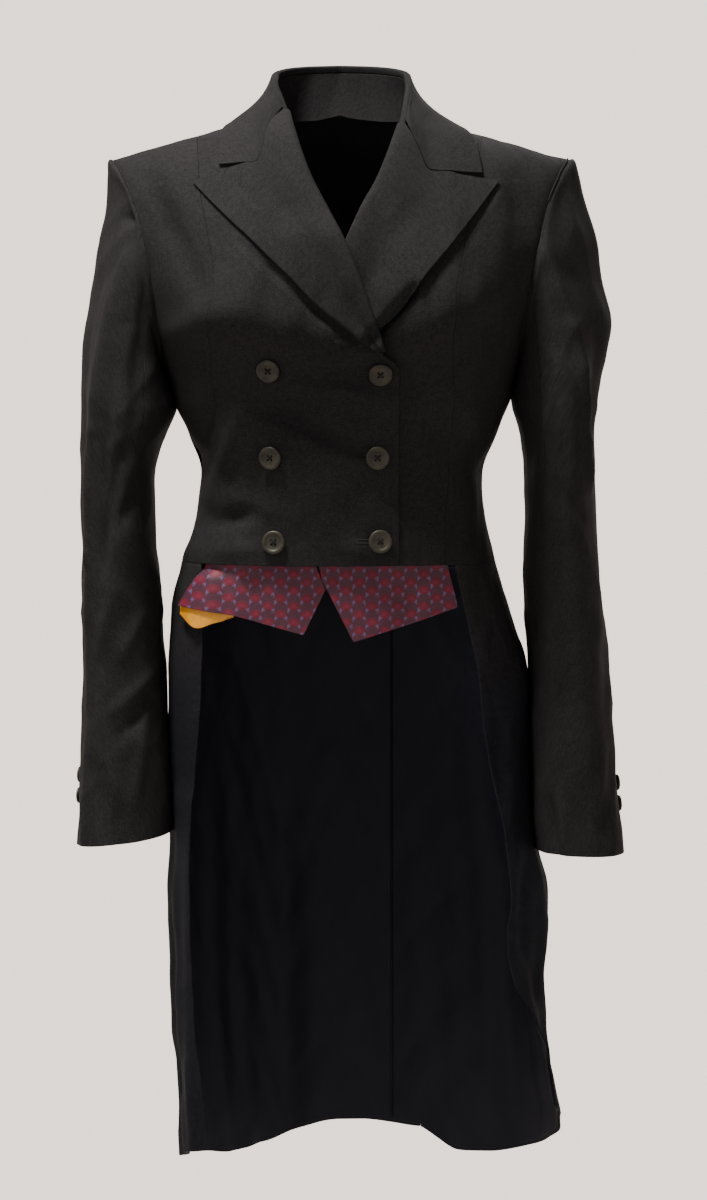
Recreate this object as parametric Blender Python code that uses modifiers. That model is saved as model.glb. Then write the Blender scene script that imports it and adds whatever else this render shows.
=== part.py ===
"""A woman's double-breasted dressage tailcoat in its worn, hollow form.

Every cloth piece is an open surface with a Solidify wall. The pieces are cut from one body surface, which is
worked out from a short table of rings, so neighbours share their seams and layers lie parallel. Table sizes
are in millimetres. X points to the wearer's left, the front faces -Y and Z is up. The origin lies between
the neck points, where the wearer's shoulders hold the coat.
"""

import math
from collections import namedtuple

import bmesh
import bpy
from mathutils import Matrix, Vector

MM = 0.001
CLOTH = 1.6  # wall of the wool cloth
LINING = 1.0  # wall of the lining and the waistcoat silk
SEAM = 0.3  # each piece stops this far from its seam line

# ---- The body surface ---------------------------------------------------------------------------
Ring = namedtuple("Ring", "z right left front back")
RINGS = [
    Ring(-920, 142, 192, 100, 128),
    Ring(-800, 147, 186, 100, 126),
    Ring(-690, 150, 181, 100, 124),
    Ring(-640, 147, 169, 100, 123),
    Ring(-600, 146, 164, 100, 122),
    Ring(-540, 146, 161, 99, 121),
    Ring(-490, 148, 158, 98, 119),
    Ring(-440, 147, 148, 96, 113),
    Ring(-394, 138, 136, 95, 103),
    Ring(-350, 125, 126, 95, 93),
    Ring(-318, 121, 124, 96, 90),
    Ring(-285, 131, 136, 99, 92),
    Ring(-255, 143, 148, 103, 96),
    Ring(-222, 154, 157, 108, 101),
    Ring(-195, 163, 165, 112, 106),
    Ring(-165, 174, 175, 113, 110),
    Ring(-135, 184, 185, 111, 111),
    Ring(-105, 192, 194, 107, 108),
    Ring(-75, 198, 201, 103, 102),
    Ring(-45, 204, 208, 98, 95),
]
SECTION_POWER = 2.35  # 2 would make each ring an ellipse, and more makes it squarer
CHEST_LINE = -190.0  # above this height the surface closes in towards the shoulder seam
SHOULDER_POWER = 2.6
NECK_HALF = 66.0
NECK_POINT_Z = -7.0
SHOULDER_SLOPE = 0.278
SHOULDER_Y = 8.0
BUST_X = 90.0
BUST_Z = -172.0
BUST_WIDTH = 46.0
BUST_HEIGHT = 50.0
BUST_DEPTH = 17.0

# A fold runs from (x1, z1) to (x2, z2) on the front. Its depth is negative in a trough.
Fold = namedtuple("Fold", "x1 z1 x2 z2 width depth")
FRONT_FOLDS = [
    Fold(-166, -66, -120, -156, 15, -5.0),
    Fold(152, -66, 158, -104, 13, -4.0),
    Fold(-58, -246, 18, -286, 15, -3.5),
    Fold(-84, -262, -110, -336, 13, 3.5),
    Fold(-106, -358, -74, -350, 13, -2.5),
    Fold(62, -238, 96, -300, 14, -2.5),
    Fold(20, -330, 84, -352, 13, -2.0),
]
# A flute stands out round the tails at this angle. It starts at a height and is full at the hem.
Flute = namedtuple("Flute", "angle start width height")
TAIL_FLUTES = [
    Flute(-24, -660, 12, 5.0),
    Flute(2, -670, 12, -4.0),
    Flute(30, -560, 12, 5.0),
    Flute(56, -420, 11, -4.5),
    Flute(74, -420, 8, 4.0),
    Flute(112, -420, 10, 4.5),
    Flute(134, -430, 11, -5.0),
    Flute(156, -540, 11, 4.0),
    Flute(180, -660, 10, -2.5),
]
WAIST_Z = -394.0

# ---- Seams and edges, in the front view where a column is an x ----------------------------------
Seam = namedtuple("Seam", "z right left")
PRINCESS = [
    Seam(-394, 88, 90),
    Seam(-376, 89, 90),
    Seam(-310, 101, 94),
    Seam(-246, 109, 97),
    Seam(-197, 110, 96),
    Seam(-163, 106, 98),
    Seam(-141, 107, 102),
    Seam(-114, 111, 107),
    Seam(-78, 118, 115),
    Seam(-20, 124, 124),
]
ARMHOLE_FRONT = [
    Seam(-222, 154, 157),
    Seam(-216, 154, 156),
    Seam(-197, 155, 157),
    Seam(-171, 158, 160),
    Seam(-135, 164, 166),
    Seam(-105, 171, 174),
    Seam(-77, 180, 182),
    Seam(-56, 190, 192),
    Seam(-44, 198, 200),
]
ARMHOLE_BACK = [
    Seam(-222, 154, 157),
    Seam(-216, 153.5, 156),
    Seam(-197, 156, 158),
    Seam(-171, 161, 163),
    Seam(-135, 169, 171),
    Seam(-105, 176, 178),
    Seam(-77, 184, 186),
    Seam(-56, 192, 194),
    Seam(-44, 198, 200),
]
UNDERARM = -222
BACK_SEAM_WAIST = 52.0  # half-widths of the centre back at the waist, the chest and the shoulder
BACK_SEAM_CHEST = 84.0
BACK_SEAM_SHOULDER = 120.0

# The top front's edge: the buttoned edge, its rounded top corner and the line where the lapel rolls.
Edge = namedtuple("Edge", "z x")
TOP_FRONT_EDGE = [
    Edge(-394, 50),
    Edge(-300, 50),
    Edge(-226, 50),
    Edge(-220, 47),
    Edge(-214, 39),
    Edge(-209, 35),
    Edge(-185, 27),
    Edge(-127, 3),
    Edge(-93, -14),
    Edge(-61, -30),
    Edge(-20, -44),
    Edge(-9, -47),
]
UNDER_FRONT_EDGE = [
    Edge(-394, -73),
    Edge(-300, -73),
    Edge(-226, -70),
    Edge(-213, -36),
    Edge(-200, -30),
    Edge(-160, -10),
    Edge(-123, 8),
    Edge(-93, 22),
    Edge(-61, 39),
    Edge(-21, 54),
    Edge(-9, 57),
]
LAP_LIFT = 3.2  # the top front stands this far off the under front
LAPEL_LIFT = 4.6  # and this much more where it crosses the other lapel

# Lapels: the roll line is the front's edge, and the outline goes on in (x, z).
Corner = namedtuple("Corner", "x z")
TOP_LAPEL_TOP = [
    Corner(-47, -9),
    Corner(-60, -25),
    Corner(-72, -57),
    Corner(-97, -62),
    Corner(-122, -70),
]
TOP_LAPEL_OUTER = [
    Corner(37.5, -213),
    Corner(13, -197),
    Corner(-30, -163),
    Corner(-77, -116),
    Corner(-122, -70),
]
UNDER_LAPEL_TOP = [
    Corner(54, -21),
    Corner(65, -43),
    Corner(77, -62.5),
    Corner(104, -66),
    Corner(134, -69),
]
UNDER_LAPEL_OUTER = [
    Corner(-22, -206),
    Corner(8, -204),
    Corner(34, -192),
    Corner(84, -134),
    Corner(134, -69),
]
ROLL_BOTTOM = 1.3  # inner radius of the lapel's roll at the button and at the collar
ROLL_TOP = 2.8
LEAF_GAP = 1.6  # the leaf's outer edge lies this far off the cloth under it

# ---- Collar -------------------------------------------------------------------------------------
Point = namedtuple("Point", "x y z")
FOLD_LINE_RIGHT = [
    Point(-48, -31, -6),
    Point(-55, -17, 10),
    Point(-60, 1, 23),
    Point(-60, 21, 31),
    Point(-49, 44, 37),
    Point(-27, 59, 40),
    Point(0, 64, 41),
]
FOLD_LINE_LEFT = [
    Point(55, -46, -18),
    Point(60, -27, 3),
    Point(63, -5, 20),
    Point(62, 19, 31),
    Point(50, 44, 37),
    Point(27, 59, 40),
    Point(0, 64, 41),
]
Plan = namedtuple("Plan", "x y")
LEAF_EDGE_RIGHT = [
    Plan(-101, -57),
    Plan(-101, -30),
    Plan(-94, 6),
    Plan(-85, 36),
    Plan(-67, 58),
    Plan(-36, 72),
    Plan(0, 77),
]
LEAF_EDGE_LEFT = [
    Plan(121, -58),
    Plan(114, -30),
    Plan(101, 6),
    Plan(89, 36),
    Plan(69, 58),
    Plan(37, 72),
    Plan(0, 77),
]
COLLAR_END_RIGHT = [
    Corner(-48, -6),
    Corner(-61, -22),
    Corner(-71, -53),
    Corner(-86, -55),
    Corner(-101, -55),
]
COLLAR_END_LEFT = [
    Corner(55, -18),
    Corner(67, -39),
    Corner(77, -58.5),
    Corner(99, -60),
    Corner(121, -60.5),
]
LEAF_OUT = 4.9
NECK_BACK_DROP = 12.0

# ---- Sleeves: a row gives the inner and outer edge seen from the front, and the front and back ed
SleeveRing = namedtuple("SleeveRing", "z inner outer front back")
SLEEVE_RIGHT = [
    SleeveRing(-262, 150, 226, -66, 68),
    SleeveRing(-324, 163, 227, -64, 62),
    SleeveRing(-391, 160, 226, -61, 57),
    SleeveRing(-441, 156, 226, -59, 53),
    SleeveRing(-495, 153, 225, -60, 46),
    SleeveRing(-548, 151, 226, -64, 38),
    SleeveRing(-593, 150, 228, -68, 29),
    SleeveRing(-641, 151, 229, -73, 19),
]
SLEEVE_LEFT = [
    SleeveRing(-262, 155, 228, -66, 68),
    SleeveRing(-324, 163, 223, -64, 62),
    SleeveRing(-391, 162, 226, -61, 57),
    SleeveRing(-441, 163, 232, -59, 53),
    SleeveRing(-495, 166, 237, -60, 46),
    SleeveRing(-548, 168, 240, -64, 38),
    SleeveRing(-593, 170, 244, -68, 29),
    SleeveRing(-648, 174, 249, -73, 19),
]
SLEEVE_POWER = 2.2
CUFF_TURN = 50.0  # the back seam comes round to the outer side by this many degrees at the cuff
CUFF_BUTTON_TURN = 16.0
SLEEVE_SEAM = 0.85  # the sleeve's seams turn more sharply than the body's, so their gap is wider
ARMHOLE_GAP = 1.2  # under the arm the sleeve starts this far outside the body
SLEEVE_LEDGE = 3.0  # and the sleeve leaves the armhole straight for this far
FRONT_SLEEVE_SEAM = -164  # the armhole levels where the sleeve's two seams begin
BACK_SLEEVE_SEAM = -138
SLEEVE_HEAD_ROWS = 5
SLEEVE_ARM_ROWS = 10
LEFT_BULGE = 9.0  # the left sleeve is crushed outwards just under its head
LEFT_BULGE_Z = -184.0

# ---- Tails --------------------------------------------------------------------------------------
TAIL_EDGE_RIGHT = [
    Edge(-396, 119),
    Edge(-460, 118),
    Edge(-522, 120),
    Edge(-594, 126),
    Edge(-680, 128),
    Edge(-790, 126),
    Edge(-849, 121),
    Edge(-915, 116),
]
TAIL_EDGE_LEFT = [
    Edge(-396, 99),
    Edge(-444, 110),
    Edge(-496, 120),
    Edge(-543, 125),
    Edge(-602, 136),
    Edge(-691, 147),
    Edge(-722, 144),
    Edge(-763, 151),
    Edge(-809, 172),
    Edge(-845, 184),
    Edge(-875, 189),
]
HEM_Z = -915.0
# How far the hem rises at a share of the way from a tail's front edge to the back's seam.
Rise = namedtuple("Rise", "t right left")
HEM_RISES = [
    Rise(0.00, 10, 40),
    Rise(0.12, 6, 27),
    Rise(0.30, -2, 4),
    Rise(0.50, -11, -11),
    Rise(0.70, -17, -21),
    Rise(0.85, -18, -22),
    Rise(1.00, -9, -6),
]
HEM_MIDDLE_RISE = 5.0
VENT_TOP = -440.0
VENT_LAP = 48.0
VENT_DROP = 4.2  # the under layer of the vent lies this far inside the upper one
VENT_ROWS = [-424, -408]  # the lap's layer lies fully inside up to the first and comes out above
LINING_GAP = 0.6
LINING_TOP = 7.0  # the lining starts this far below the waist seam
LINING_INSET = 0.14  # its edges lie this share of a column inside the cloth's
LINING_HEM_RISE = 0.25
BACK_COLUMNS = 5
SKIRT_COLUMNS = 9

# ---- Waistcoat points, buttons and rows of the mesh ---------------------------------------------
# A waistcoat piece hangs from the first row of corners to the second, column by column.
POINT_TOP_Z = -384
POINT_RIGHT_TOP = [
    Corner(-103, POINT_TOP_Z),
    Corner(-80, POINT_TOP_Z),
    Corner(-45, POINT_TOP_Z),
    Corner(-24, POINT_TOP_Z),
]
POINT_RIGHT_LOW = [
    Corner(-134, -430),
    Corner(-92, -437),
    Corner(-31, -453),
    Corner(-12, -414),
]
POINT_LEFT_TOP = [
    Corner(-20, POINT_TOP_Z),
    Corner(12, POINT_TOP_Z),
    Corner(57, POINT_TOP_Z),
    Corner(92, POINT_TOP_Z),
]
POINT_LEFT_LOW = [
    Corner(-15, -406),
    Corner(12, -459),
    Corner(57, -445),
    Corner(103, -430),
]
BACKING_SHOWS = [7, 16, 9, 2]  # how far the backing shows under the point, column by column
POINT_DROP = 3.2  # the points come out from this far inside the front
POINT_FLARE = 8.6  # and the outer corner stands out over the tail by this much more
BACKING_DROP = 2.6
Button = namedtuple("Button", "name x z")
BUTTONS = [
    Button("button_top_right", -59, -226),
    Button("button_top_left", 34.5, -229),
    Button("button_middle_right", -57, -301),
    Button("button_middle_left", 32, -301),
    Button("button_lower_right", -55, -374),
    Button("button_lower_left", 34, -373),
]
BUTTON_RADIUS = 10.0
BUTTON_HEIGHT = 3.4
BUTTON_RIM = 2.4
BUTTON_DISH = 1.0
BUTTON_HOLE = 1.1
BUTTON_HOLE_PITCH = 2.6
BUTTON_STAND = 0.5
CUFF_BUTTON_RADIUS = 7.0
CUFF_BUTTON_HEIGHT = 3.0
CUFF_BUTTONS = [40.0, 58.0]  # heights above the cuff's edge
BODY_ROWS = [-394, -372, -350, -326, -302, -278, -256, -238, UNDERARM]
UPPER_ROWS = [-205, -186, -164, -138, -110, -82, -54, -30, -12, -3, 0]
TAIL_ROWS = 12

WOOL = (0.016, 0.016, 0.018, 1)
NAVY = (0.008, 0.010, 0.018, 1)
ROSE = (0.36, 0.035, 0.075, 1)
GOLD = (0.58, 0.32, 0.015, 1)
HORN = (0.045, 0.042, 0.032, 1)


# ---- Interpolation ------------------------------------------------------------------------------
def smooth(keys, values, at):
    """A smooth curve through a table's points, which never overshoots a row."""
    if keys[0] > keys[-1]:
        keys, values = keys[::-1], values[::-1]
    if at <= keys[0]:
        return values[0]
    if at >= keys[-1]:
        return values[-1]
    i = max(k for k in range(len(keys) - 1) if keys[k] <= at)
    step = [b - a for a, b in zip(keys, keys[1:])]
    rise = [(b - a) / s for a, b, s in zip(values, values[1:], step)]

    def slope(k):
        if k == 0:
            return rise[0]
        if k == len(keys) - 1:
            return rise[-1]
        if rise[k - 1] * rise[k] <= 0:
            return 0.0
        return 2 * rise[k - 1] * rise[k] / (rise[k - 1] + rise[k])

    t = (at - keys[i]) / step[i]
    return (
        values[i] * (1 + 2 * t) * (1 - t) ** 2
        + slope(i) * step[i] * t * (1 - t) ** 2
        + values[i + 1] * t * t * (3 - 2 * t)
        + slope(i + 1) * step[i] * t * t * (t - 1)
    )


def column(table, name, key, at):
    """A named column of a table at a value of its key column."""
    return smooth([getattr(row, key) for row in table], [getattr(row, name) for row in table], at)


def ease(t):
    t = min(1.0, max(0.0, t))
    return t * t * (3 - 2 * t)


def along(points, t):
    """The place at a share t of the length of a smooth curve through points."""
    points = [Vector(p) for p in points]
    reach = [0.0]
    for a, b in zip(points, points[1:]):
        reach.append(reach[-1] + (b - a).length)
    at = t * reach[-1]
    return Vector([smooth(reach, [p[k] for p in points], at) for k in range(len(points[0]))])


def straight(points, t):
    """The place at a share t of the length of a path of straight lines."""
    points = [Vector(p) for p in points]
    steps = [(b - a).length for a, b in zip(points, points[1:])]
    rest = t * sum(steps)
    for a, b, step in zip(points, points[1:], steps):
        if rest <= step:
            return a.lerp(b, rest / step)
        rest -= step
    return points[-1]


def bezier(a, b, c, d, t):
    return a * (1 - t) ** 3 + b * 3 * t * (1 - t) ** 2 + c * 3 * t * t * (1 - t) + d * t**3


# ---- The body surface ---------------------------------------------------------------------------
def shoulder_z(x):
    return NECK_POINT_Z - (abs(x) - NECK_HALF) * SHOULDER_SLOPE


def half_width(x_sign, z):
    return column(RINGS, "left" if x_sign > 0 else "right", "z", z)


def fold_out(x, z):
    """How far the front's folds stand out at a place."""
    out = 0.0
    for f in FRONT_FOLDS:
        run = Vector((f.x2 - f.x1, f.z2 - f.z1))
        to = Vector((x - f.x1, z - f.z1))
        t = min(1.0, max(0.0, to.dot(run) / run.length_squared))
        away = (to - run * t).length
        out += f.depth * math.exp(-((away / f.width) ** 2)) * (0.55 + 0.45 * math.sin(math.pi * t))
    return out


def flute_out(angle, z):
    """How far the tails' flutes stand out at an angle."""
    out = 0.0
    for f in TAIL_FLUTES:
        away = (angle - f.angle + 180) % 360 - 180
        grown = ease((f.start - z) / (f.start - HEM_Z))
        out += f.height * grown * math.exp(-((away / f.width) ** 2))
    return out


def bare_body(angle, h):
    """The body surface without its offset. h is a height whose zero is the shoulder seam."""
    c = math.cos(math.radians(angle))
    s = math.sin(math.radians(angle))
    q = max(0.0, (h - CHEST_LINE) / -CHEST_LINE)
    z = h
    for _ in range(6):
        x = math.copysign(half_width(c, z) * abs(c) ** (2 / SECTION_POWER), c)
        if q > 0:
            z = CHEST_LINE + (shoulder_z(x) - CHEST_LINE) * q
    close = max(0.0, 1 - q**SHOULDER_POWER) ** (1 / SHOULDER_POWER)
    depth = column(RINGS, "front" if s < 0 else "back", "z", z)
    y = SHOULDER_Y * q * q + math.copysign(depth * abs(s) ** (2 / SECTION_POWER), s) * close
    if s < 0:
        bust = sum(math.exp(-(((x - side * BUST_X) / BUST_WIDTH) ** 2)) for side in (-1, 1))
        y -= BUST_DEPTH * bust * math.exp(-(((z - BUST_Z) / BUST_HEIGHT) ** 2)) * close
    return Vector((x, y, z))


def body(angle, h, out=0.0):
    """A point on the coat's outer face, moved out along the surface."""
    here = bare_body(angle, h)
    turn = 0.6
    rise = 1.5
    across = bare_body(angle + turn, h) - bare_body(angle - turn, h)
    up = bare_body(angle, min(h + rise, 0)) - bare_body(angle, h - rise)
    normal = across.cross(up).normalized()
    if here.y < 0 and here.z > WAIST_Z:
        out += fold_out(here.x, here.z)
    if here.z < WAIST_Z:
        out += flute_out(angle, here.z)
    return here + normal * out


def place(x, z, side=-1):
    """The angle and height of a point of the front (side -1) or back (side 1) given as (x, z)."""
    q = (z - CHEST_LINE) / (shoulder_z(x) - CHEST_LINE)
    h = z if q <= 0 else -CHEST_LINE * min(q, 1.0) + CHEST_LINE
    share = min(1.0, abs(x) / half_width(x, z)) ** (SECTION_POWER / 2)
    angle = math.degrees(math.acos(share))
    if x < 0:
        angle = 180 - angle
    return side * angle, h


def front(x, z, out=0.0):
    return body(*place(x, z), out)


def body_top(x, y, out):
    """The height of the shoulders over a place in plan."""
    z = shoulder_z(x)
    for _ in range(8):
        depth = column(RINGS, "front" if y < SHOULDER_Y else "back", "z", z)
        share = min(1.0, abs(x) / half_width(x, z))
        depth *= (1 - share**SECTION_POWER) ** (1 / SECTION_POWER)
        close = min(1.0, abs(y - SHOULDER_Y) / depth)
        q = (1 - close**SHOULDER_POWER) ** (1 / SHOULDER_POWER)
        z = CHEST_LINE + (shoulder_z(x) - CHEST_LINE) * q
    return z + out


# ---- Making solids ------------------------------------------------------------------------------
def finish(name, mesh, colour, roughness, home):
    material = bpy.data.materials.new(name + "_finish")
    material.use_nodes = True
    shader = material.node_tree.nodes["Principled BSDF"]
    shader.inputs["Base Color"].default_value = colour
    shader.inputs["Roughness"].default_value = roughness
    shader.inputs["Metallic"].default_value = 0.0
    mesh.materials.append(material)
    mesh.shade_smooth()
    piece = bpy.data.objects.new(name, mesh)
    home.objects.link(piece)
    return piece


def pull_in(line, gap=SEAM):
    """Moves the ends of a row of points in from their seams."""
    first = (line[1] - line[0]).normalized() * gap
    last = (line[-2] - line[-1]).normalized() * gap
    return [line[0] + first, *line[1:-1], line[-1] + last]


def cloth(
    name, rows, home, colour=WOOL, wall=CLOTH, inside=Vector((0, 0)), facing_in=False, seam=SEAM
):
    """A wall of cloth from rows of points on its outer face, which looks away from a point in plan."""
    rows = [pull_in(row, seam) for row in rows]
    columns = [pull_in(list(col)) for col in zip(*rows)]
    rows = [list(row) for row in zip(*columns)]
    shape = bmesh.new()
    middle = len(rows) // 2
    here, beside, above = rows[middle][-2], rows[middle][-1], rows[middle + 1][-2]
    looks = (beside - here).cross(above - here)
    flip = (looks.xy.dot(here.xy - inside) < 0) != facing_in
    corners = [[shape.verts.new(p * MM) for p in row] for row in rows]
    for low, high in zip(corners, corners[1:]):
        for i in range(len(low) - 1):
            face = [low[i], low[i + 1], high[i + 1], high[i]]
            shape.faces.new(face[::-1] if flip else face)
    mesh = bpy.data.meshes.new(name)
    shape.to_mesh(mesh)
    shape.free()
    piece = finish(name, mesh, colour, 0.85, home)
    solid = piece.modifiers.new("wall", "SOLIDIFY")
    solid.thickness = wall * MM
    solid.offset = -1
    solid.use_even_offset = True
    return piece


def shares(count):
    return [i / count for i in range(count + 1)]


# ---- The bodice ---------------------------------------------------------------------------------
def seam_place(table, side_name, h, half=-1):
    """Where a seam given in (x, z) crosses the height h, as an angle."""
    sign = 1 if side_name == "left" else -1
    z = h
    for _ in range(5):
        x = sign * column(table, side_name, "z", z)
        if h > CHEST_LINE:
            z = CHEST_LINE + (shoulder_z(x) - CHEST_LINE) * (h - CHEST_LINE) / -CHEST_LINE
    return place(x, z, half)[0]


def back_seam_angle(side_name, h):
    """The seam between the centre back and the side back."""
    sign = 1 if side_name == "left" else -1
    rows = [WAIST_Z, -330, -190, -60, 0]
    shoulder = BACK_SEAM_SHOULDER
    halves = [BACK_SEAM_WAIST + 6, BACK_SEAM_WAIST, BACK_SEAM_CHEST, shoulder - 4, shoulder]
    x = sign * smooth(rows, halves, h)
    if h < WAIST_Z:
        x = sign * (BACK_SEAM_WAIST + 6 + 16 * ease((WAIST_Z - h) / 520))
    z = h
    if h > CHEST_LINE:
        z = CHEST_LINE + (shoulder_z(x) - CHEST_LINE) * (h - CHEST_LINE) / -CHEST_LINE
    return place(x, z, 1)[0]


def side_seam_angle(side_name, half=-1):
    """The side seam, measured round from the front (half -1) or from the back (half 1)."""
    return 0.0 if side_name == "left" else 180.0 * half


def edge_angle(table, h):
    """The angle of a front edge given as (z, x) at the height h."""
    z = h
    x = column(table, "x", "z", z)
    if h > CHEST_LINE:
        for _ in range(5):
            z = CHEST_LINE + (shoulder_z(x) - CHEST_LINE) * (h - CHEST_LINE) / -CHEST_LINE
            x = column(table, "x", "z", z)
    return place(x, z)[0]


def top_front_lift(angle, h):
    """How far the top front stands off, over the under front and over the other lapel."""
    p = bare_body(angle, h)
    over = ease((p.x + 104) / 30) * ease((-70 - p.z) / 50)
    lapel = ease((p.x + 62) / 26) * ease((p.z + 240) / 24) * ease((-88 - p.z) / 34)
    return LAP_LIFT * over + LAPEL_LIFT * lapel


def make_front(name, edge, side_name, lift, columns, home):
    """A front panel from its edge to the princess seam, and up to the shoulder."""
    rows = []
    for h in BODY_ROWS + UPPER_ROWS:
        inner = edge_angle(edge, h)
        outer = seam_place(PRINCESS, side_name, h)
        if h > -9:
            neck = NECK_HALF if side_name == "left" else -NECK_HALF
            inner = place(neck, shoulder_z(neck) + h)[0]
        row = []
        for t in shares(columns):
            angle = inner + (outer - inner) * t
            row.append(body(angle, h, lift(angle, h)))
        rows.append(row)
    return cloth(name, rows, home)


def make_side_front(side_name, home):
    """The piece between the princess seam, the side seam and the armhole."""
    rows = []
    for h in BODY_ROWS + UPPER_ROWS:
        inner = seam_place(PRINCESS, side_name, h)
        outer = side_seam_angle(side_name)
        if h > UNDERARM:
            outer = seam_place(ARMHOLE_FRONT, side_name, h)
        rows.append([body(inner + (outer - inner) * t, h) for t in shares(5)])
    return cloth("side_front_" + side_name, rows, home)


def make_side_back(side_name, home):
    """The piece between the side seam or the armhole and the centre back's seam."""
    rows = []
    for h in BODY_ROWS + UPPER_ROWS:
        outer = back_seam_angle(side_name, h)
        inner = side_seam_angle(side_name, 1)
        if h > UNDERARM:
            inner = seam_place(ARMHOLE_BACK, side_name, h, 1)
        rows.append([body(inner + (outer - inner) * t, h) for t in shares(5)])
    return cloth("side_back_" + side_name, rows, home)


def vent_drop(side_name, x, h):
    """The right back's under layer lies inside the left back's edge."""
    if side_name == "left":
        return 0.0
    return -VENT_DROP * ease((x + 58) / 50) * ease((WAIST_Z - h) / (WAIST_Z - VENT_ROWS[0]))


def tail_rows():
    """The tails' heights: even steps from the hem to the vent, and two more up to the waist."""
    return [HEM_Z + (VENT_TOP - HEM_Z) * t for t in shares(TAIL_ROWS)] + VENT_ROWS


def hem_share(h):
    """How much of the hem's rise a row takes."""
    return min(1.0, max(0.0, (WAIST_Z - h) / (WAIST_Z - HEM_Z))) ** 5


def back_row(side_name, h, inwards=0.0):
    """A row of the centre back, from the middle or the vent's edge to its seam."""
    seam = back_seam_angle(side_name, h)
    middle = 90.0
    if side_name == "right" and h <= VENT_TOP:
        middle = place(VENT_LAP, h, 1)[0]
    row = []
    for t in shares(BACK_COLUMNS):
        angle = middle + (seam - middle) * t
        x = bare_body(angle, h).x
        drop = NECK_BACK_DROP * max(0.0, 1 - (x / NECK_HALF) ** 2) * ease((h + 60) / 60)
        outer = max(0.0, (angle - 90) / (seam - 90))
        rise = HEM_MIDDLE_RISE + (column(HEM_RISES, side_name, "t", 1) - HEM_MIDDLE_RISE) * ease(outer)
        row.append(body(angle, h - drop + rise * hem_share(h), vent_drop(side_name, x, h) - inwards))
    return row


def make_back(side_name, home):
    """A centre back, in one piece from the neck to the hem, with a vent below the waist."""
    rows = [back_row(side_name, h) for h in tail_rows() + BODY_ROWS + UPPER_ROWS]
    return cloth("back_" + side_name, rows, home, seam=0.4)


# ---- Tails and their lining ---------------------------------------------------------------------
def tail_edge_angle(side_name, h):
    """The angle of a tail's front edge, on the same turn of the circle as the back."""
    if side_name == "left":
        return place(column(TAIL_EDGE_LEFT, "x", "z", h), h)[0]
    return 360 + place(-column(TAIL_EDGE_RIGHT, "x", "z", h), h)[0]


def skirt_row(side_name, h, inwards=0.0):
    """A row of a tail's side, from its front edge to the centre back's seam."""
    edge = tail_edge_angle(side_name, h)
    seam = back_seam_angle(side_name, h)
    row = []
    for t in shares(SKIRT_COLUMNS):
        rise = column(HEM_RISES, side_name, "t", t) * hem_share(h)
        row.append(body(edge + (seam - edge) * t, h + rise, -inwards))
    return row


def make_skirt(side_name, home):
    """A tail's side, from its front edge round to the centre back's seam."""
    rows = [skirt_row(side_name, h) for h in tail_rows() + [WAIST_Z - 2 * SEAM]]
    return cloth("skirt_" + side_name, rows, home)


def make_lining(side_name, home):
    """The tail's lining, made from the points of the tail's side and back, moved in."""
    rows = []
    for h in tail_rows() + [WAIST_Z - LINING_TOP]:
        inwards = CLOTH + LINING_GAP
        skirt = skirt_row(side_name, h, inwards)
        back = back_row(side_name, h, inwards)
        skirt[0] = skirt[0].lerp(skirt[1], LINING_INSET)
        back[0] = back[0].lerp(back[1], LINING_INSET)
        rows.append(skirt + back[-2::-1])
    rows[0] = [low.lerp(high, LINING_HEM_RISE) for low, high in zip(rows[0], rows[1])]
    return cloth("tail_lining_" + side_name, rows, home, NAVY, LINING)


# ---- Lapels and collar --------------------------------------------------------------------------
def coons(bottom, top, left, right, u, v):
    """A patch of the plane between four edges."""
    across = bottom(u) * (1 - v) + top(u) * v
    up = left(v) * (1 - u) + right(v) * u
    ends = (bottom(0) * (1 - u) + bottom(1) * u) * (1 - v) + (top(0) * (1 - u) + top(1) * u) * v
    return across + up - ends


def curl(centre, towards, outwards, radius, steps):
    """Points round a fold, from the inner face over to the outer face."""
    turns = [math.radians(-90 + 180 * i / steps) for i in range(steps)]
    return [centre + towards * math.cos(a) * radius + outwards * math.sin(a) * radius for a in turns]


def make_lapel(name, roll, outer, top, lift, sign, home):
    """A lapel rolls over at the front's edge and lies on the front. sign is the side it points to."""
    bottom = [roll[0], outer[0]]
    edges = (
        lambda u: along(bottom, u),
        lambda u: along(top, u),
        lambda v: along(roll, v),
        lambda v: along(outer, v),
    )
    rows = []
    for v in shares(13):
        radius = ROLL_BOTTOM + (ROLL_TOP - ROLL_BOTTOM) * v
        height = 2 * radius + CLOTH
        line = edges[2](v)
        here = front(line.x, line.y, lift(line.x, line.y))
        ahead = edges[2](min(1, v + 0.02))
        behind = edges[2](max(0, v - 0.02))
        run = front(ahead.x, ahead.y, lift(*ahead)) - front(behind.x, behind.y, lift(*behind))
        outwards = (front(line.x, line.y, lift(line.x, line.y) + 1) - here).normalized()
        towards = run.cross(outwards).normalized()
        if towards.x * sign > 0:
            towards = -towards
        centre = here + towards * 1.3 + outwards * radius
        row = curl(centre, towards, outwards, radius + CLOTH, 4)
        for u in shares(7):
            p = coons(*edges, u, v)
            rest = LEAF_GAP + CLOTH
            out = rest + (height - rest) * (1 - ease(u / 0.55))
            row.append(front(p.x, p.y, lift(p.x, p.y) + out))
        rows.append(row)
    return cloth(name, rows, home)


def no_lift(_x, _z):
    return 0.0


def lift_at(x, z):
    return top_front_lift(*place(x, z))


def leaf_edge(table, t):
    p = along(table, t)
    return Vector((p.x, p.y, body_top(p.x, p.y, LEAF_OUT)))


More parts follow.
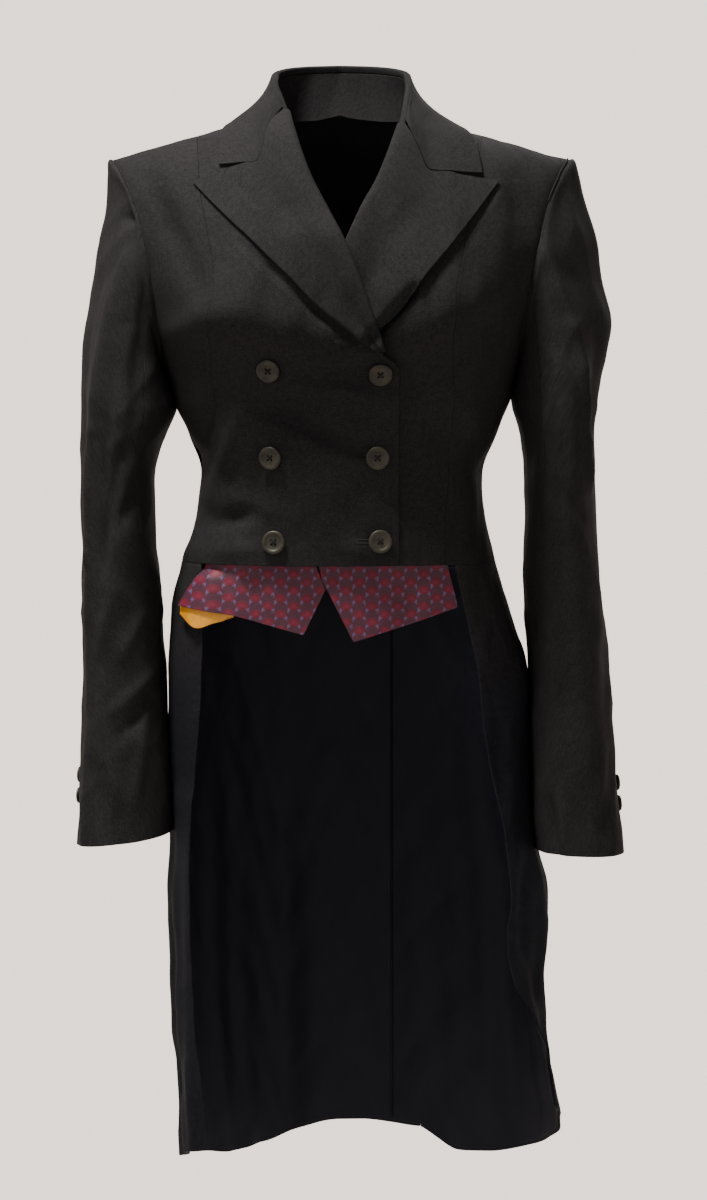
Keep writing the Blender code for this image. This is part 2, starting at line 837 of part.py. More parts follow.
def leaf_point(fold, edge, end, t, v):
    """A point of the collar leaf, t along the collar from its front end and v down from the fold."""
    start = along(fold, t)
    stop = leaf_edge(edge, t)
    away = Vector((start.x, start.y - 15, 0)).normalized()
    inner = stop.lerp(start, 0.52)
    inner.z = max(inner.z - 1.0, body_top(inner.x, inner.y, LEAF_OUT))
    fall = bezier(start, start + away * 5 - Vector((0, 0, 16)), inner, stop, v)
    turn = along(end, v)
    turn = front(turn.x, turn.y, LEAF_OUT + 1.2 * math.sin(math.pi * v))
    first = along(fold, 0)
    last = leaf_edge(edge, 0)
    turn += (start - first) * (1 - v) + (stop - last) * v
    mix = ease(t / 0.30)
    p = turn * (1 - mix) + fall * mix
    if abs(p.x) > NECK_HALF - 8 and t > 0:
        p.z = max(p.z, body_top(p.x, p.y, LEAF_OUT))
    return p


def collar_sides():
    return (
        (FOLD_LINE_RIGHT, LEAF_EDGE_RIGHT, COLLAR_END_RIGHT),
        (FOLD_LINE_LEFT, LEAF_EDGE_LEFT, COLLAR_END_LEFT),
    )


def collar_stations(count):
    """Places along the whole collar: from the right front end round the back to the left."""
    right, left = collar_sides()
    stations = [(right, t) for t in shares(count)]
    return stations + [(left, t) for t in reversed(shares(count)[:-1])]


def make_collar(home):
    rows = []
    for (fold, edge, end), t in collar_stations(11):
        here = along(fold, t)
        away = Vector((here.x, here.y - 15, 0)).normalized()
        upwards = Vector((0, 0, 1))
        radius = ROLL_TOP - 1.0
        row = [here - away * (2 * radius + CLOTH) - upwards * 4]
        for turn in (0.25, 0.5, 0.75):
            a = math.pi * turn
            reach = radius + CLOTH
            middle = here - away * reach - upwards * 1.5
            row.append(middle - away * math.cos(a) * reach + upwards * math.sin(a) * reach)
        row += [leaf_point(fold, edge, end, t, v) for v in shares(6)]
        rows.append(row)
    return cloth("collar_leaf", rows, home)


def make_stand(home):
    """The collar's stand, from the neckline up into the fold."""
    rows = []
    for (fold, _, _), t in collar_stations(11)[2:-2]:
        here = along(fold, t)
        away = Vector((here.x, here.y - 15, 0)).normalized()
        top = here - away * (2 * (ROLL_TOP - 1.0) + CLOTH) - Vector((0, 0, 5.0))
        side = 1 if here.x >= 0 else -1
        x = side * min(NECK_HALF + 1, abs(here.x) + 6)
        h = -NECK_BACK_DROP * max(0.0, 1 - (x / NECK_HALF) ** 2)
        base = body(place(x, shoulder_z(x), 1 if here.y > SHOULDER_Y else -1)[0], h)
        if here.y < SHOULDER_Y:
            base = Vector((top.x + side * 3, top.y, top.z - 12))
        rows.append([base + Vector((0, 0, 2.0)), base.lerp(top, 0.5) + away * 1.0, top])
    return cloth("collar_stand", rows, home, facing_in=True)


# ---- Sleeves ------------------------------------------------------------------------------------
def armhole(side_name):
    """The armhole loop, from the shoulder down its front, under the arm and up its back."""
    down = [0, *UPPER_ROWS[-2::-1]]
    loop = []
    for h in [*down, UNDERARM]:
        loop.append((seam_place(ARMHOLE_FRONT, side_name, h, -1), h))
    for h in UPPER_ROWS[:-1]:
        loop.append((seam_place(ARMHOLE_BACK, side_name, h, 1), h))
    return loop


def sleeve_turns(points):
    """How far round the sleeve each point of the armhole comes to lie, in degrees towards the back."""
    count = len(points)
    reach = [0.0]
    for i in range(count):
        reach.append(reach[-1] + (points[(i + 1) % count] - points[i]).length)
    low = count // 2
    turns = []
    for i in range(count):
        if i <= low:
            turns.append(-180 * reach[i] / reach[low])
        else:
            turns.append(180 * (reach[count] - reach[i]) / (reach[count] - reach[low]))
    return turns


def ring_point(side_name, z, turn):
    """A point of the sleeve, turn degrees round from its outer side towards the back."""
    table = SLEEVE_LEFT if side_name == "left" else SLEEVE_RIGHT
    sign = 1 if side_name == "left" else -1
    inner, outer = column(table, "inner", "z", z), column(table, "outer", "z", z)
    near, far = column(table, "front", "z", z), column(table, "back", "z", z)
    c = math.cos(math.radians(turn))
    s = math.sin(math.radians(turn))
    x = (inner + outer) / 2 + (outer - inner) / 2 * math.copysign(abs(c) ** (2 / SLEEVE_POWER), c)
    y = (near + far) / 2 + (far - near) / 2 * math.copysign(abs(s) ** (2 / SLEEVE_POWER), s)
    return Vector((sign * x, y, z))


def cuff_turn(z):
    return -CUFF_TURN * ease((SLEEVE_RIGHT[0].z - z) / 330)


def bulge(side_name, p, turn):
    """The left sleeve's crushed fold under its head."""
    if side_name == "right":
        return p
    facing = max(0.0, math.cos(math.radians(turn)))
    out = LEFT_BULGE * math.exp(-(((p.z - LEFT_BULGE_Z) / 30) ** 2)) * facing
    return p + Vector((out, 0, 0))


def sleeve_columns(side_name):
    """Every column of the sleeve, each a list of points from the armhole to the cuff."""
    loop = armhole(side_name)
    points = [body(angle, h) for angle, h in loop]
    turns = sleeve_turns(points)
    table = SLEEVE_LEFT if side_name == "left" else SLEEVE_RIGHT
    top, cuff = table[0].z, table[-1].z
    columns = []
    way = -1 if side_name == "left" else 1
    for i, ((angle, h), start, turn) in enumerate(zip(loop, points, turns)):
        run = points[(i + 1) % len(points)] - points[i - 1]
        normal = body(angle, h, 1.0) - start
        away = run.cross(normal).normalized() * way
        high = (1 + math.cos(math.radians(turn))) / 2
        end = ring_point(side_name, top, turn)
        outwards = normal.normalized()
        begin = start + away * SEAM + outwards * (ARMHOLE_GAP * (1 - high))
        leave = (away * high + outwards * (1 - high)).normalized()
        turned = begin + leave * SLEEVE_LEDGE
        first = turned + leave * (3 + 7 * high)
        second = end + Vector((0, 0, 14 + 66 * high))
        line = [begin] + [bezier(turned, first, second, end, t) for t in shares(SLEEVE_HEAD_ROWS)]
        line = [bulge(side_name, p, turn) for p in line]
        for t in shares(SLEEVE_ARM_ROWS)[1:]:
            z = top + (cuff - top) * t
            line.append(ring_point(side_name, z, turn + cuff_turn(z)))
        columns.append(line)
    return columns


def make_sleeve(side_name, home):
    """A two-piece sleeve: the top sleeve over the outer side and the under sleeve beside the body."""
    columns = sleeve_columns(side_name)
    count = len(columns)
    front_seam = 1 + UPPER_ROWS[::-1].index(FRONT_SLEEVE_SEAM) - 1
    back_seam = count // 2 + 1 + UPPER_ROWS.index(BACK_SLEEVE_SEAM)
    over = [columns[i % count] for i in range(back_seam, count + front_seam + 1)]
    under = columns[front_seam : back_seam + 1]
    for name, part in (("top_sleeve_", over), ("under_sleeve_", under)):
        rows = [list(row) for row in zip(*part)]
        centre = sum((columns[i][len(rows) // 2] for i in range(count)), Vector()) / count
        cloth(name + side_name, rows, home, inside=centre.xy, seam=SLEEVE_SEAM)


# ---- Waistcoat points ---------------------------------------------------------------------------
def point_out(x, z):
    """The points come from inside the front, and the outer corner passes over the tail."""
    return -POINT_DROP + POINT_FLARE * ease((WAIST_Z - 1 - z) / 13) * ease((-98 - x) / 14)


def hanging_rows(top, low, drop):
    """Rows of points of a piece that hangs from one row of corners to another, under the front's hem."""
    places = []
    for i in range(len(top) - 1):
        for t in shares(3)[: 3 if i < len(top) - 2 else 4]:
            high = Vector(top[i]).lerp(Vector(top[i + 1]), t)
            places.append((high, Vector(low[i]).lerp(Vector(low[i + 1]), t)))
    rows = []
    for v in shares(6):
        line = [high.lerp(deep, v) for high, deep in places]
        rows.append([front(p.x, p.y, point_out(p.x, p.y) - drop * (0.6 + 0.4 * v)) for p in line])
    return rows


def make_points(home):
    """The waistcoat's two points, and the backing that shows under the outer corner."""
    right = hanging_rows(POINT_RIGHT_TOP, POINT_RIGHT_LOW, 0.0)
    cloth("waistcoat_point_right", right, home, ROSE, LINING)
    left = hanging_rows(POINT_LEFT_TOP, POINT_LEFT_LOW, 0.0)
    cloth("waistcoat_point_left", left, home, ROSE, LINING)
    behind = hanging_rows(POINT_RIGHT_TOP, POINT_RIGHT_LOW, BACKING_DROP)
    rows = [row[: len(BACKING_SHOWS)] for row in behind]
    rows.append([p - Vector((0, 0, shows)) for p, shows in zip(rows[-1], BACKING_SHOWS)])
    cloth("waistcoat_backing", rows, home, GOLD, LINING)


# ---- Buttons ------------------------------------------------------------------------------------
def button_mesh(name, radius, height, home, holes):
    """A turned button with a rim and a dished face, standing on z = 0."""
    rim = radius * BUTTON_RIM / BUTTON_RADIUS
    dish = BUTTON_DISH * height / BUTTON_HEIGHT
    profile = [
        (0, height - dish),
        (radius - rim, height - dish),
        (radius - rim * 0.55, height),
        (radius - 0.5, height - 0.25),
        (radius, height * 0.55),
        (radius * 0.72, 0),
        (0, 0),
    ]
    shape = bmesh.new()
    corners = [shape.verts.new((x * MM, 0, z * MM)) for x, z in profile]
    edges = [shape.edges.new(pair) for pair in zip(corners, corners[1:])]
    bmesh.ops.spin(
        shape, geom=corners + edges, axis=(0, 0, 1), cent=(0, 0, 0), steps=16, angle=math.tau, use_merge=True
    )
    bmesh.ops.remove_doubles(shape, verts=shape.verts, dist=0.00002)
    bmesh.ops.recalc_face_normals(shape, faces=shape.faces)
    mesh = bpy.data.meshes.new(name)
    shape.to_mesh(mesh)
    shape.free()
    if not holes:
        return mesh
    turned = bpy.data.objects.new(name + "_turned", mesh)
    home.objects.link(turned)
    shape = bmesh.new()
    for i in range(4):
        a = math.radians(45 + 90 * i)
        at = Vector((math.cos(a), math.sin(a), 0)) * BUTTON_HOLE_PITCH + Vector((0, 0, height / 2))
        bmesh.ops.create_cone(
            shape,
            cap_ends=True,
            segments=6,
            radius1=BUTTON_HOLE * MM,
            radius2=BUTTON_HOLE * MM,
            depth=3 * height * MM,
            matrix=Matrix.Translation(at * MM),
        )
    drill_mesh = bpy.data.meshes.new(name + "_drill")
    shape.to_mesh(drill_mesh)
    shape.free()
    drill = bpy.data.objects.new(name + "_drill", drill_mesh)
    drill.hide_render = True
    home.objects.link(drill)
    cut = turned.modifiers.new("holes", "BOOLEAN")
    cut.operation = "DIFFERENCE"
    cut.object = drill
    bpy.context.view_layer.update()
    drilled = bpy.data.meshes.new_from_object(turned.evaluated_get(bpy.context.evaluated_depsgraph_get()))
    bpy.data.objects.remove(turned)
    bpy.data.objects.remove(drill)
    return drilled


def set_button(name, mesh, at, outwards, home):
    piece = finish(name, mesh.copy(), HORN, 0.4, home)
    piece.matrix_world = Matrix.Translation((at + outwards * BUTTON_STAND) * MM) @ (
        outwards.to_track_quat("Z", "Y").to_matrix().to_4x4()
    )
    return piece


def make_buttons(home):
    big = button_mesh("front_button", BUTTON_RADIUS, BUTTON_HEIGHT, home, True)
    for b in BUTTONS:
        lift = lift_at(b.x, b.z)
        spots = []
        for t in shares(12)[:-1]:
            x = b.x + BUTTON_RADIUS * math.cos(math.tau * t)
            z = b.z + BUTTON_RADIUS * math.sin(math.tau * t)
            spots.append(front(x, z, lift_at(x, z)))
        outwards = (spots[0] - spots[6]).cross(spots[3] - spots[9]).normalized()
        at = front(b.x, b.z, lift)
        high = max((spot - at).dot(outwards) for spot in spots)
        set_button(b.name, big, at + outwards * max(0.0, high), outwards, home)
    small = button_mesh("cuff_button", CUFF_BUTTON_RADIUS, CUFF_BUTTON_HEIGHT, home, False)
    for side_name, table in (("right", SLEEVE_RIGHT), ("left", SLEEVE_LEFT)):
        for number, above in enumerate(CUFF_BUTTONS, 1):
            z = table[-1].z + above
            at = ring_point(side_name, z, CUFF_BUTTON_TURN)
            turn = CUFF_BUTTON_TURN
            across = ring_point(side_name, z, turn + 5) - ring_point(side_name, z, turn - 5)
            up = ring_point(side_name, z + 8, turn) - ring_point(side_name, z - 8, turn)
            outwards = across.cross(up).normalized()
            if outwards.x * at.x < 0:
                outwards = -outwards
            set_button(f"cuff_button_{side_name}_{number}", small, at, outwards, home)


def build():
    for old in list(bpy.data.objects):
        bpy.data.objects.remove(old)
    home = bpy.data.collections.new("dressage_tailcoat")
    bpy.context.scene.collection.children.link(home)
    make_front("front_right", TOP_FRONT_EDGE, "right", top_front_lift, 8, home)
    make_front("front_left", UNDER_FRONT_EDGE, "left", lambda a, h: 0.0, 8, home)
    for side_name in ("right", "left"):
        make_side_front(side_name, home)
        make_side_back(side_name, home)
        make_back(side_name, home)
        make_skirt(side_name, home)
        make_lining(side_name, home)
    top_roll = [Corner(e.x, e.z) for e in TOP_FRONT_EDGE if e.z >= -209]
    under_roll = [Corner(e.x, e.z) for e in UNDER_FRONT_EDGE if -200 <= e.z <= -21]
    make_lapel("lapel_right", top_roll, TOP_LAPEL_OUTER, TOP_LAPEL_TOP, lift_at, -1, home)
    make_lapel("lapel_left", under_roll, UNDER_LAPEL_OUTER, UNDER_LAPEL_TOP, no_lift, 1, home)
    make_collar(home)
    make_stand(home)
    for side_name in ("right", "left"):
        make_sleeve(side_name, home)
    make_points(home)
    make_buttons(home)


build()
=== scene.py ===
# %% [markdown]
# # A dressage tailcoat
# A riding tailcoat is a tight double-breasted bodice, cut straight at the waist in front, with two long
# tails behind. This lesson builds it from cloth walls. Every wall is cut from one smooth body surface, so
# that neighbouring pieces meet along the same seams, as pattern pieces do. Table sizes are in
# millimetres.

# %% The frame: the packed CAD model that every piece here follows
import math
from collections import namedtuple

import bmesh
import bpy
import numpy as np
from mathutils import Matrix, Vector


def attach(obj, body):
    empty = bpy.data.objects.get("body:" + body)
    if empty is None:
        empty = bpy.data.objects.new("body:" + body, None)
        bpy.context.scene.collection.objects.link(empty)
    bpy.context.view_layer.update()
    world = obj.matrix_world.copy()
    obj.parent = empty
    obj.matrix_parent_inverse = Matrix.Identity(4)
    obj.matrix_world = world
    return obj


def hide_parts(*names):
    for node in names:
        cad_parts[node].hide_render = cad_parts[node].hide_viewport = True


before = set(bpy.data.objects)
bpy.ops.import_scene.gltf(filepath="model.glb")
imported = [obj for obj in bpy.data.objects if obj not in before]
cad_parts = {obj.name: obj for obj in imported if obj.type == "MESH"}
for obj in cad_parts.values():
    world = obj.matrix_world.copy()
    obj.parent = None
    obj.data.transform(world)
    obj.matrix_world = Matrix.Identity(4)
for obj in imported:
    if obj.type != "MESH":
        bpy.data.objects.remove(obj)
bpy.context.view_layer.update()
MM = 0.001

# %% [markdown]
# ## The camera
# The coat is looked at from 3 m away at shoulder height, a little downwards. A long lens keeps the
# sleeves from looking larger than the tails. Its length follows from the height of cloth that the picture
# has to hold.

# %% The camera
EYE = Vector((0.012, -3.0, -0.231))
AIM = Vector((0.012, 0.0, -0.429))
VIEW_HEIGHT = 1.056  # metres of the coat's own plane from the top of the picture to the bottom
SENSOR = 24.0
camera_data = bpy.data.cameras.new("camera")
camera = bpy.data.objects.new("camera", camera_data)
camera_data.sensor_fit = "VERTICAL"
camera_data.sensor_height = SENSOR
camera_data.lens = SENSOR * (EYE - AIM).length / VIEW_HEIGHT
camera.location = EYE
camera.rotation_euler = (AIM - EYE).to_track_quat("-Z", "Y").to_euler()
bpy.context.scene.collection.objects.link(camera)
bpy.context.scene.camera = camera
print("lens, mm:", round(camera_data.lens, 1))

# %% [markdown]
# ## Shader arithmetic
# Blender's materials are graphs of nodes. A graph is easier to read as a formula, so this small class
# wraps a node's output and turns Python's operators into Math nodes.


# %% A number that changes over a surface
class Wave:
    """A number that changes over a surface: the output of a node in one material."""

    def __init__(self, paint, socket):
        self.paint = paint
        self.socket = socket

    def _math(self, operation, *values):
        return self.paint.node("ShaderNodeMath", {"operation": operation}, *values)

    def __add__(self, other):
        return self._math("ADD", self, other)

    __radd__ = __add__

    def __sub__(self, other):
        return self._math("SUBTRACT", self, other)

    def __rsub__(self, other):
        return self._math("SUBTRACT", other, self)

    def __mul__(self, other):
        return self._math("MULTIPLY", self, other)

    __rmul__ = __mul__

    def __truediv__(self, other):
        return self._math("DIVIDE", self, other)

    def sin(self):
        return self._math("SINE", self)

    def abs(self):
        return self._math("ABSOLUTE", self)

    def floor(self):
        return self._math("FLOOR", self)

    def fract(self):
        return self._math("FRACT", self)

    def above(self, start, end):
        """0 below start, 1 above end and smooth between them."""
        return self.paint.node(
            "ShaderNodeMapRange", {"interpolation_type": "SMOOTHSTEP"}, self, start, end, 0.0, 1.0
        )


print("besides + - * /, a Wave has:", ", ".join(name for name in vars(Wave) if not name.startswith("_")))

# %% [markdown]
# A material is a Principled shader and the nodes that feed it. The next class keeps the two together. It
# has one method for any node, and short ones for what every finish needs: coordinates, noise, a mix and a
# bump.


# %% One material
class Paint:
    """One material, made of a Principled shader and the nodes that feed it."""

    def __init__(self, name, **sockets):
        self.material = bpy.data.materials.new(name)
        self.material.use_nodes = True
        self.tree = self.material.node_tree
        self.shader = self.tree.nodes["Principled BSDF"]
        for key, value in sockets.items():
            self.shader.inputs[key.replace("_", " ").title().replace("Ior", "IOR")].default_value = value

    def node(self, kind, settings, *values, output=0):
        """Any node: its settings first, then the value or link of each socket in order."""
        node = self.tree.nodes.new(kind)
        for key, value in settings.items():
            setattr(node, key, value)
        for socket, value in zip(node.inputs, values):
            if isinstance(value, Wave):
                self.tree.links.new(value.socket, socket)
            elif value is not None:
                socket.default_value = value
        return Wave(self, node.outputs[output])

    def places(self, source):
        """The X, Y and Z of a coordinate: "Object" in metres, or "UV"."""
        coordinate = self.tree.nodes.new("ShaderNodeTexCoord")
        split = self.tree.nodes.new("ShaderNodeSeparateXYZ")
        self.tree.links.new(coordinate.outputs[source], split.inputs[0])
        return Wave(self, coordinate.outputs[source]), [Wave(self, out) for out in split.outputs]

    def noise(self, where, scale, detail=2.0):
        return self.node("ShaderNodeTexNoise", {}, where, None, scale, detail, 0.55)

    def mix(self, share, first, second):
        node = self.tree.nodes.new("ShaderNodeMix")
        node.data_type = "RGBA"
        for index, value in ((0, share), (6, first), (7, second)):
            if isinstance(value, Wave):
                self.tree.links.new(value.socket, node.inputs[index])
            else:
                node.inputs[index].default_value = value
        return Wave(self, node.outputs[2])

    def bump(self, height, depth, strength=1.0):
        """A normal from a height of 0 to 1. depth is the height of 1, in metres."""
        node = self.tree.nodes.new("ShaderNodeBump")
        node.inputs["Strength"].default_value = strength
        node.inputs["Distance"].default_value = depth
        self.tree.links.new(height.socket, node.inputs["Height"])
        return Wave(self, node.outputs[0])

    def feed(self, socket, value):
        self.tree.links.new(value.socket, self.shader.inputs[socket])


print("a Paint has:", ", ".join(name for name in vars(Paint) if not name.startswith("_")))

# %% [markdown]
# Colours are easier to judge as a screen shows them, from 0 to 255. Blender's sockets hold linear light,
# so each colour is turned by the screen's own curve, which is straight near black.


# %% Colours
def rgb(red, green, blue):
    """A colour given as on a screen, 0 to 255, as Blender's linear numbers."""
    shares = [v / 255 for v in (red, green, blue)]
    return (*((v / 12.92) if v < 0.0404 else ((v + 0.055) / 1.055) ** 2.4 for v in shares), 1)


print("a middle grey in linear light:", round(rgb(128, 128, 128)[0], 3))

# %% [markdown]
# ## The floor
# The floor is a pale disc where the ground lies under the worn coat. Its alpha falls off towards its
# edge, so it melts into the surroundings and no horizon line crosses the picture.

# %% The floor, which fades out
FLOOR_Z = -1.42
FLOOR_RADIUS = 1.6
FADE_START, FADE_END = 0.35, 0.97  # shares of the radius between which the floor fades
PALE = rgb(238, 226, 217)
floor_paint = Paint("pale_floor", base_color=PALE, roughness=0.9, specular_ior_level=0.1)
where, (x, y, z) = floor_paint.places("Object")
reach = floor_paint.node("ShaderNodeMath", {"operation": "SQRT"}, x * x + y * y)
floor_paint.feed("Alpha", 1 - reach.above(FLOOR_RADIUS * FADE_START, FLOOR_RADIUS * FADE_END))
floor_mesh = bpy.data.meshes.new("floor")
shape = bmesh.new()
bmesh.ops.create_circle(shape, cap_ends=True, segments=96, radius=FLOOR_RADIUS)
bmesh.ops.translate(shape, verts=shape.verts, vec=(0, 0, FLOOR_Z))
shape.to_mesh(floor_mesh)
shape.free()
floor_mesh.materials.append(floor_paint.material)
floor = bpy.data.objects.new("floor", floor_mesh)
bpy.context.scene.collection.objects.link(floor)
print("the floor's height, m:", FLOOR_Z)

# %% [markdown]
# ## The light
# A strong small lamp hangs nearly overhead and to the left, as in a shop. It makes the shoulders and the
# bust bright, draws a shadow under the lapels and falls off down the tails. Two weak lamps stand in front
# and behind.

# %% Three lamps
Lamp = namedtuple("Lamp", "name x y z size watts colour")
LIT_POINT = Vector((0, 0, -0.35))
LAMPS = [
    Lamp("overhead", -0.62, -0.50, 1.8, 0.4, 245, (1.0, 0.95, 0.89)),
    Lamp("from_the_front", -1.7, -1.5, 1.3, 0.5, 14, (1.0, 0.97, 0.93)),
    Lamp("from_behind", 0.9, 1.7, 1.1, 0.6, 24, (1.0, 0.97, 0.93)),
]
for lamp in LAMPS:
    lamp_data = bpy.data.lights.new(lamp.name, "AREA")
    lamp_data.energy = lamp.watts
    lamp_data.size = lamp.size
    lamp_data.color = lamp.colour
    lamp_object = bpy.data.objects.new(lamp.name, lamp_data)
    lamp_object.location = (lamp.x, lamp.y, lamp.z)
    lamp_object.rotation_euler = (LIT_POINT - lamp_object.location).to_track_quat("-Z", "Y").to_euler()
    bpy.context.scene.collection.objects.link(lamp_object)
print("lamps:", ", ".join(f"{lamp.name} {lamp.watts} W" for lamp in LAMPS))

# %% [markdown]
# The surroundings are pale walls. They are bright in a band round the horizon and darken towards the
# ceiling and the ground. If they shone evenly from all sides, no fold would have a dark side and the
# cloth would look flat.

# %% The pale room
WORLD_LIGHT = 2.4
CEILING_SHARE, GROUND_SHARE = 0.12, 0.15  # how much of the walls' light the ceiling and the ground have
WORLD_BAND = [  # each edge of the band: the heights it lies between, and the light at each, from -1 to 1
    (0.14, 0.36, WORLD_LIGHT, WORLD_LIGHT * CEILING_SHARE),
    (-0.62, -0.42, GROUND_SHARE, 1.0),
]
world = bpy.data.worlds.new("pale_room")
world.use_nodes = True
bpy.context.scene.world = world
room = world.node_tree.nodes
sky = room.new("ShaderNodeTexCoord")
split = room.new("ShaderNodeSeparateXYZ")
glow = room.new("ShaderNodeMath")
world.node_tree.links.new(sky.outputs["Generated"], split.inputs[0])
glow.operation = "MULTIPLY"
for slot, (start, end, first, last) in enumerate(WORLD_BAND):
    edge = room.new("ShaderNodeMapRange")
    edge.interpolation_type = "SMOOTHSTEP"
    for socket, value in zip(edge.inputs[1:5], (start, end, first, last)):
        socket.default_value = value
    world.node_tree.links.new(split.outputs["Z"], edge.inputs[0])
    world.node_tree.links.new(edge.outputs[0], glow.inputs[slot])
world.node_tree.links.new(glow.outputs[0], room["Background"].inputs[1])
room["Background"].inputs[0].default_value = PALE
print("the walls' light:", WORLD_LIGHT)

# %% [markdown]
# ## The wool
# The coat is a fine worsted wool: a dense twill whose diagonal ribs are under a millimetre apart, with a
# soft dry sheen and a faint mottle, because the yarn is spun from fibres of slightly different greys. The
# pattern is drawn in each piece's own UV map, whose units are metres of cloth, so the ribs follow the
# cut. The tails hang in the coat's own shade, and that shade is painted into their wool: a second,
# darker pair of shades lower down.

# %% Wool
RIB = 0.00062  # from one twill rib to the next
CHARCOAL = (rgb(11, 11, 13), rgb(30, 29, 30))  # the yarn's darkest and lightest shade
# Painted shade: the tails' wool turns to this darker pair low down, for the shade they hang in.
PAINTED_SHADE_CHARCOAL = (rgb(6, 7, 11), rgb(21, 22, 27))
PAINTED_SHADE_BELOW, PAINTED_SHADE_FROM = -0.54, -0.42  # the heights between which the tails' wool turns deeper


def wool(name, shades, painted_shade_pair=()):
    """A worsted twill between two near shades, and if asked a darker pair of painted shade from the hips
    down.
    """
    paint = Paint(
        name, roughness=0.82, specular_ior_level=0.04, sheen_weight=0.006, sheen_roughness=0.45,
        sheen_tint=rgb(150, 146, 142),
    )
    where, (u, v, _) = paint.places("UV")
    wander = paint.noise(where, 500.0, 1.0)
    ribs = ((u + v * 1.25) * (math.tau / RIB) + wander * 1.6).sin() * 0.5 + 0.5
    threads = ((v - u * 0.35) * (math.tau / (RIB * 2.3)) + wander * 2.0).sin() * 0.5 + 0.5
    yarn = ribs * 0.65 + threads * 0.35
    fibres = paint.noise(where, 900.0, 2.0)
    slubs = paint.noise(where, 240.0, 3.0)
    broad = paint.noise(where, 12.0, 2.0)
    shade = (yarn - 0.5) * 0.45 + (fibres - 0.5) * 2.0 + (slubs - 0.5) * 0.9 + (broad - 0.5) * 0.5 + 0.5
    face = paint.mix(shade.above(0.0, 1.0), *shades)
    # Painted shade on the tails: below the hips the colour blends into the darker pair.
    if painted_shade_pair:
        _, (_, _, height) = paint.places("Object")
        painted_shade_face = paint.mix(shade.above(0.0, 1.0), *painted_shade_pair)
        face = paint.mix(height.above(PAINTED_SHADE_BELOW, PAINTED_SHADE_FROM), painted_shade_face, face)
    paint.feed("Base Color", face)
    paint.feed("Roughness", 0.76 + fibres * 0.12)
    paint.feed("Normal", paint.bump(yarn * 0.6 + fibres * 0.5, 0.00016, 0.7))
    return paint.material


WOOL = wool("charcoal_wool", CHARCOAL)
# The tails' wool, with its painted shade lower down.
TAIL_WOOL_WITH_PAINTED_SHADE = wool("charcoal_wool_of_the_tails", CHARCOAL, PAINTED_SHADE_CHARCOAL)
print("twill ribs, mm:", RIB / MM)

# %% [markdown]
# ## The lining and the satin
# The lining is smooth and closely woven, with a low shine. The waistcoat points are backed with a golden
# satin of the same weave, which shines more. So one function makes both, with a fine weave and a faint
# cloudiness.


# %% Lining and satin
def smooth_cloth(name, colour, light, roughness, shine, sheen):
    """A close plain weave between two shades."""
    paint = Paint(
        name, roughness=roughness, specular_ior_level=shine, sheen_weight=sheen, sheen_roughness=0.3,
    )
    where, (u, v, _) = paint.places("UV")
    weave = (u * 7800.0).sin() * 0.5 + (v * 7800.0).sin() * 0.5
    cloud = paint.noise(where, 160.0, 3.0)
    paint.feed("Base Color", paint.mix((cloud + weave * 0.12).above(0.0, 1.0), colour, light))
    paint.feed("Roughness", roughness - 0.08 + cloud * 0.16)
    paint.feed("Normal", paint.bump(weave * 0.5 + cloud * 0.5, 0.0001, 0.4))
    return paint.material


LINING = smooth_cloth("navy_lining", rgb(8, 9, 15), rgb(15, 17, 25), 0.6, 0.06, 0.004)
SATIN = smooth_cloth("golden_satin", rgb(130, 84, 2), rgb(172, 118, 6), 0.38, 0.3, 0.02)
print("smooth cloths:", LINING.name, "and", SATIN.name)

# %% [markdown]
# ## The figured silk
# The waistcoat points are silk with a small woven figure: rounded rose blocks in a half-drop, where each
# column lies half a step lower than the last, joined by pale slanting links. Two repeating numbers, one
# across and one down, give every block and link. A little noise keeps their edges as soft as woven ones.

# %% Figured silk
FIGURE_WIDTH, FIGURE_DROP = 0.0112, 0.0136  # from one block to the next, across and down the silk


def figured_silk(name):
    """Rose blocks with paler middles on a dark rose ground, and lilac links between them."""
    paint = Paint(name, roughness=0.5, specular_ior_level=0.14, sheen_weight=0.02, sheen_roughness=0.3)
    where, (u, v, _) = paint.places("UV")
    wobble = paint.noise(where, 900.0, 2.0) - 0.5
    across = u / FIGURE_WIDTH + wobble * 0.22
    down = v / FIGURE_DROP + (across.floor() * 0.5).fract() + wobble * 0.2
    a = (across.fract() - 0.5).abs() * 2.0
    b = (down.fract() - 0.5).abs() * 2.0
    block = 1 - (a * a * a * 0.9 + b * b * 2.0 + a * b * 0.7).above(0.42, 0.95)
    heart = 1 - (a * a + b * b * 1.6).above(0.03, 0.2)
    zig = ((across.fract() - 0.5).abs() * 0.7 + down + wobble * 0.2).fract()
    link = 1 - (zig - 0.55).abs().above(0.05, 0.2)
    threads = (v * 15000.0).sin() * 0.5 + 0.5
    fine = paint.noise(where, 1300.0, 3.0)
    ground = paint.mix(fine.above(0.3, 0.75), rgb(38, 16, 25), rgb(58, 31, 45))
    ground = paint.mix(link * 0.8, ground, rgb(72, 56, 84))
    face = paint.mix(block * 0.9, ground, rgb(70, 10, 25))
    face = paint.mix(heart * 0.5, face, rgb(84, 19, 34))
    face = paint.mix((fine * 0.6 + threads * 0.4).above(0.4, 0.95) * 0.4, face, rgb(58, 32, 42))
    paint.feed("Base Color", face)
    paint.feed("Roughness", 0.46 + block * 0.12)
    paint.feed("Normal", paint.bump(block * 0.7 + link * 0.4 + threads * 0.2, 0.00025, 0.5))
    return paint.material


SILK = figured_silk("rose_figured_silk")
print("the silk's figure, mm:", FIGURE_WIDTH / MM, "x", FIGURE_DROP / MM)

# %% [markdown]
# ## Horn and thread
# The buttons are cast resin that looks like dark horn: noise stretched over two olive greys gives its
# streaks. Sewing thread is a tight twist, so its shade and its bump run round it in a fine sine wave.


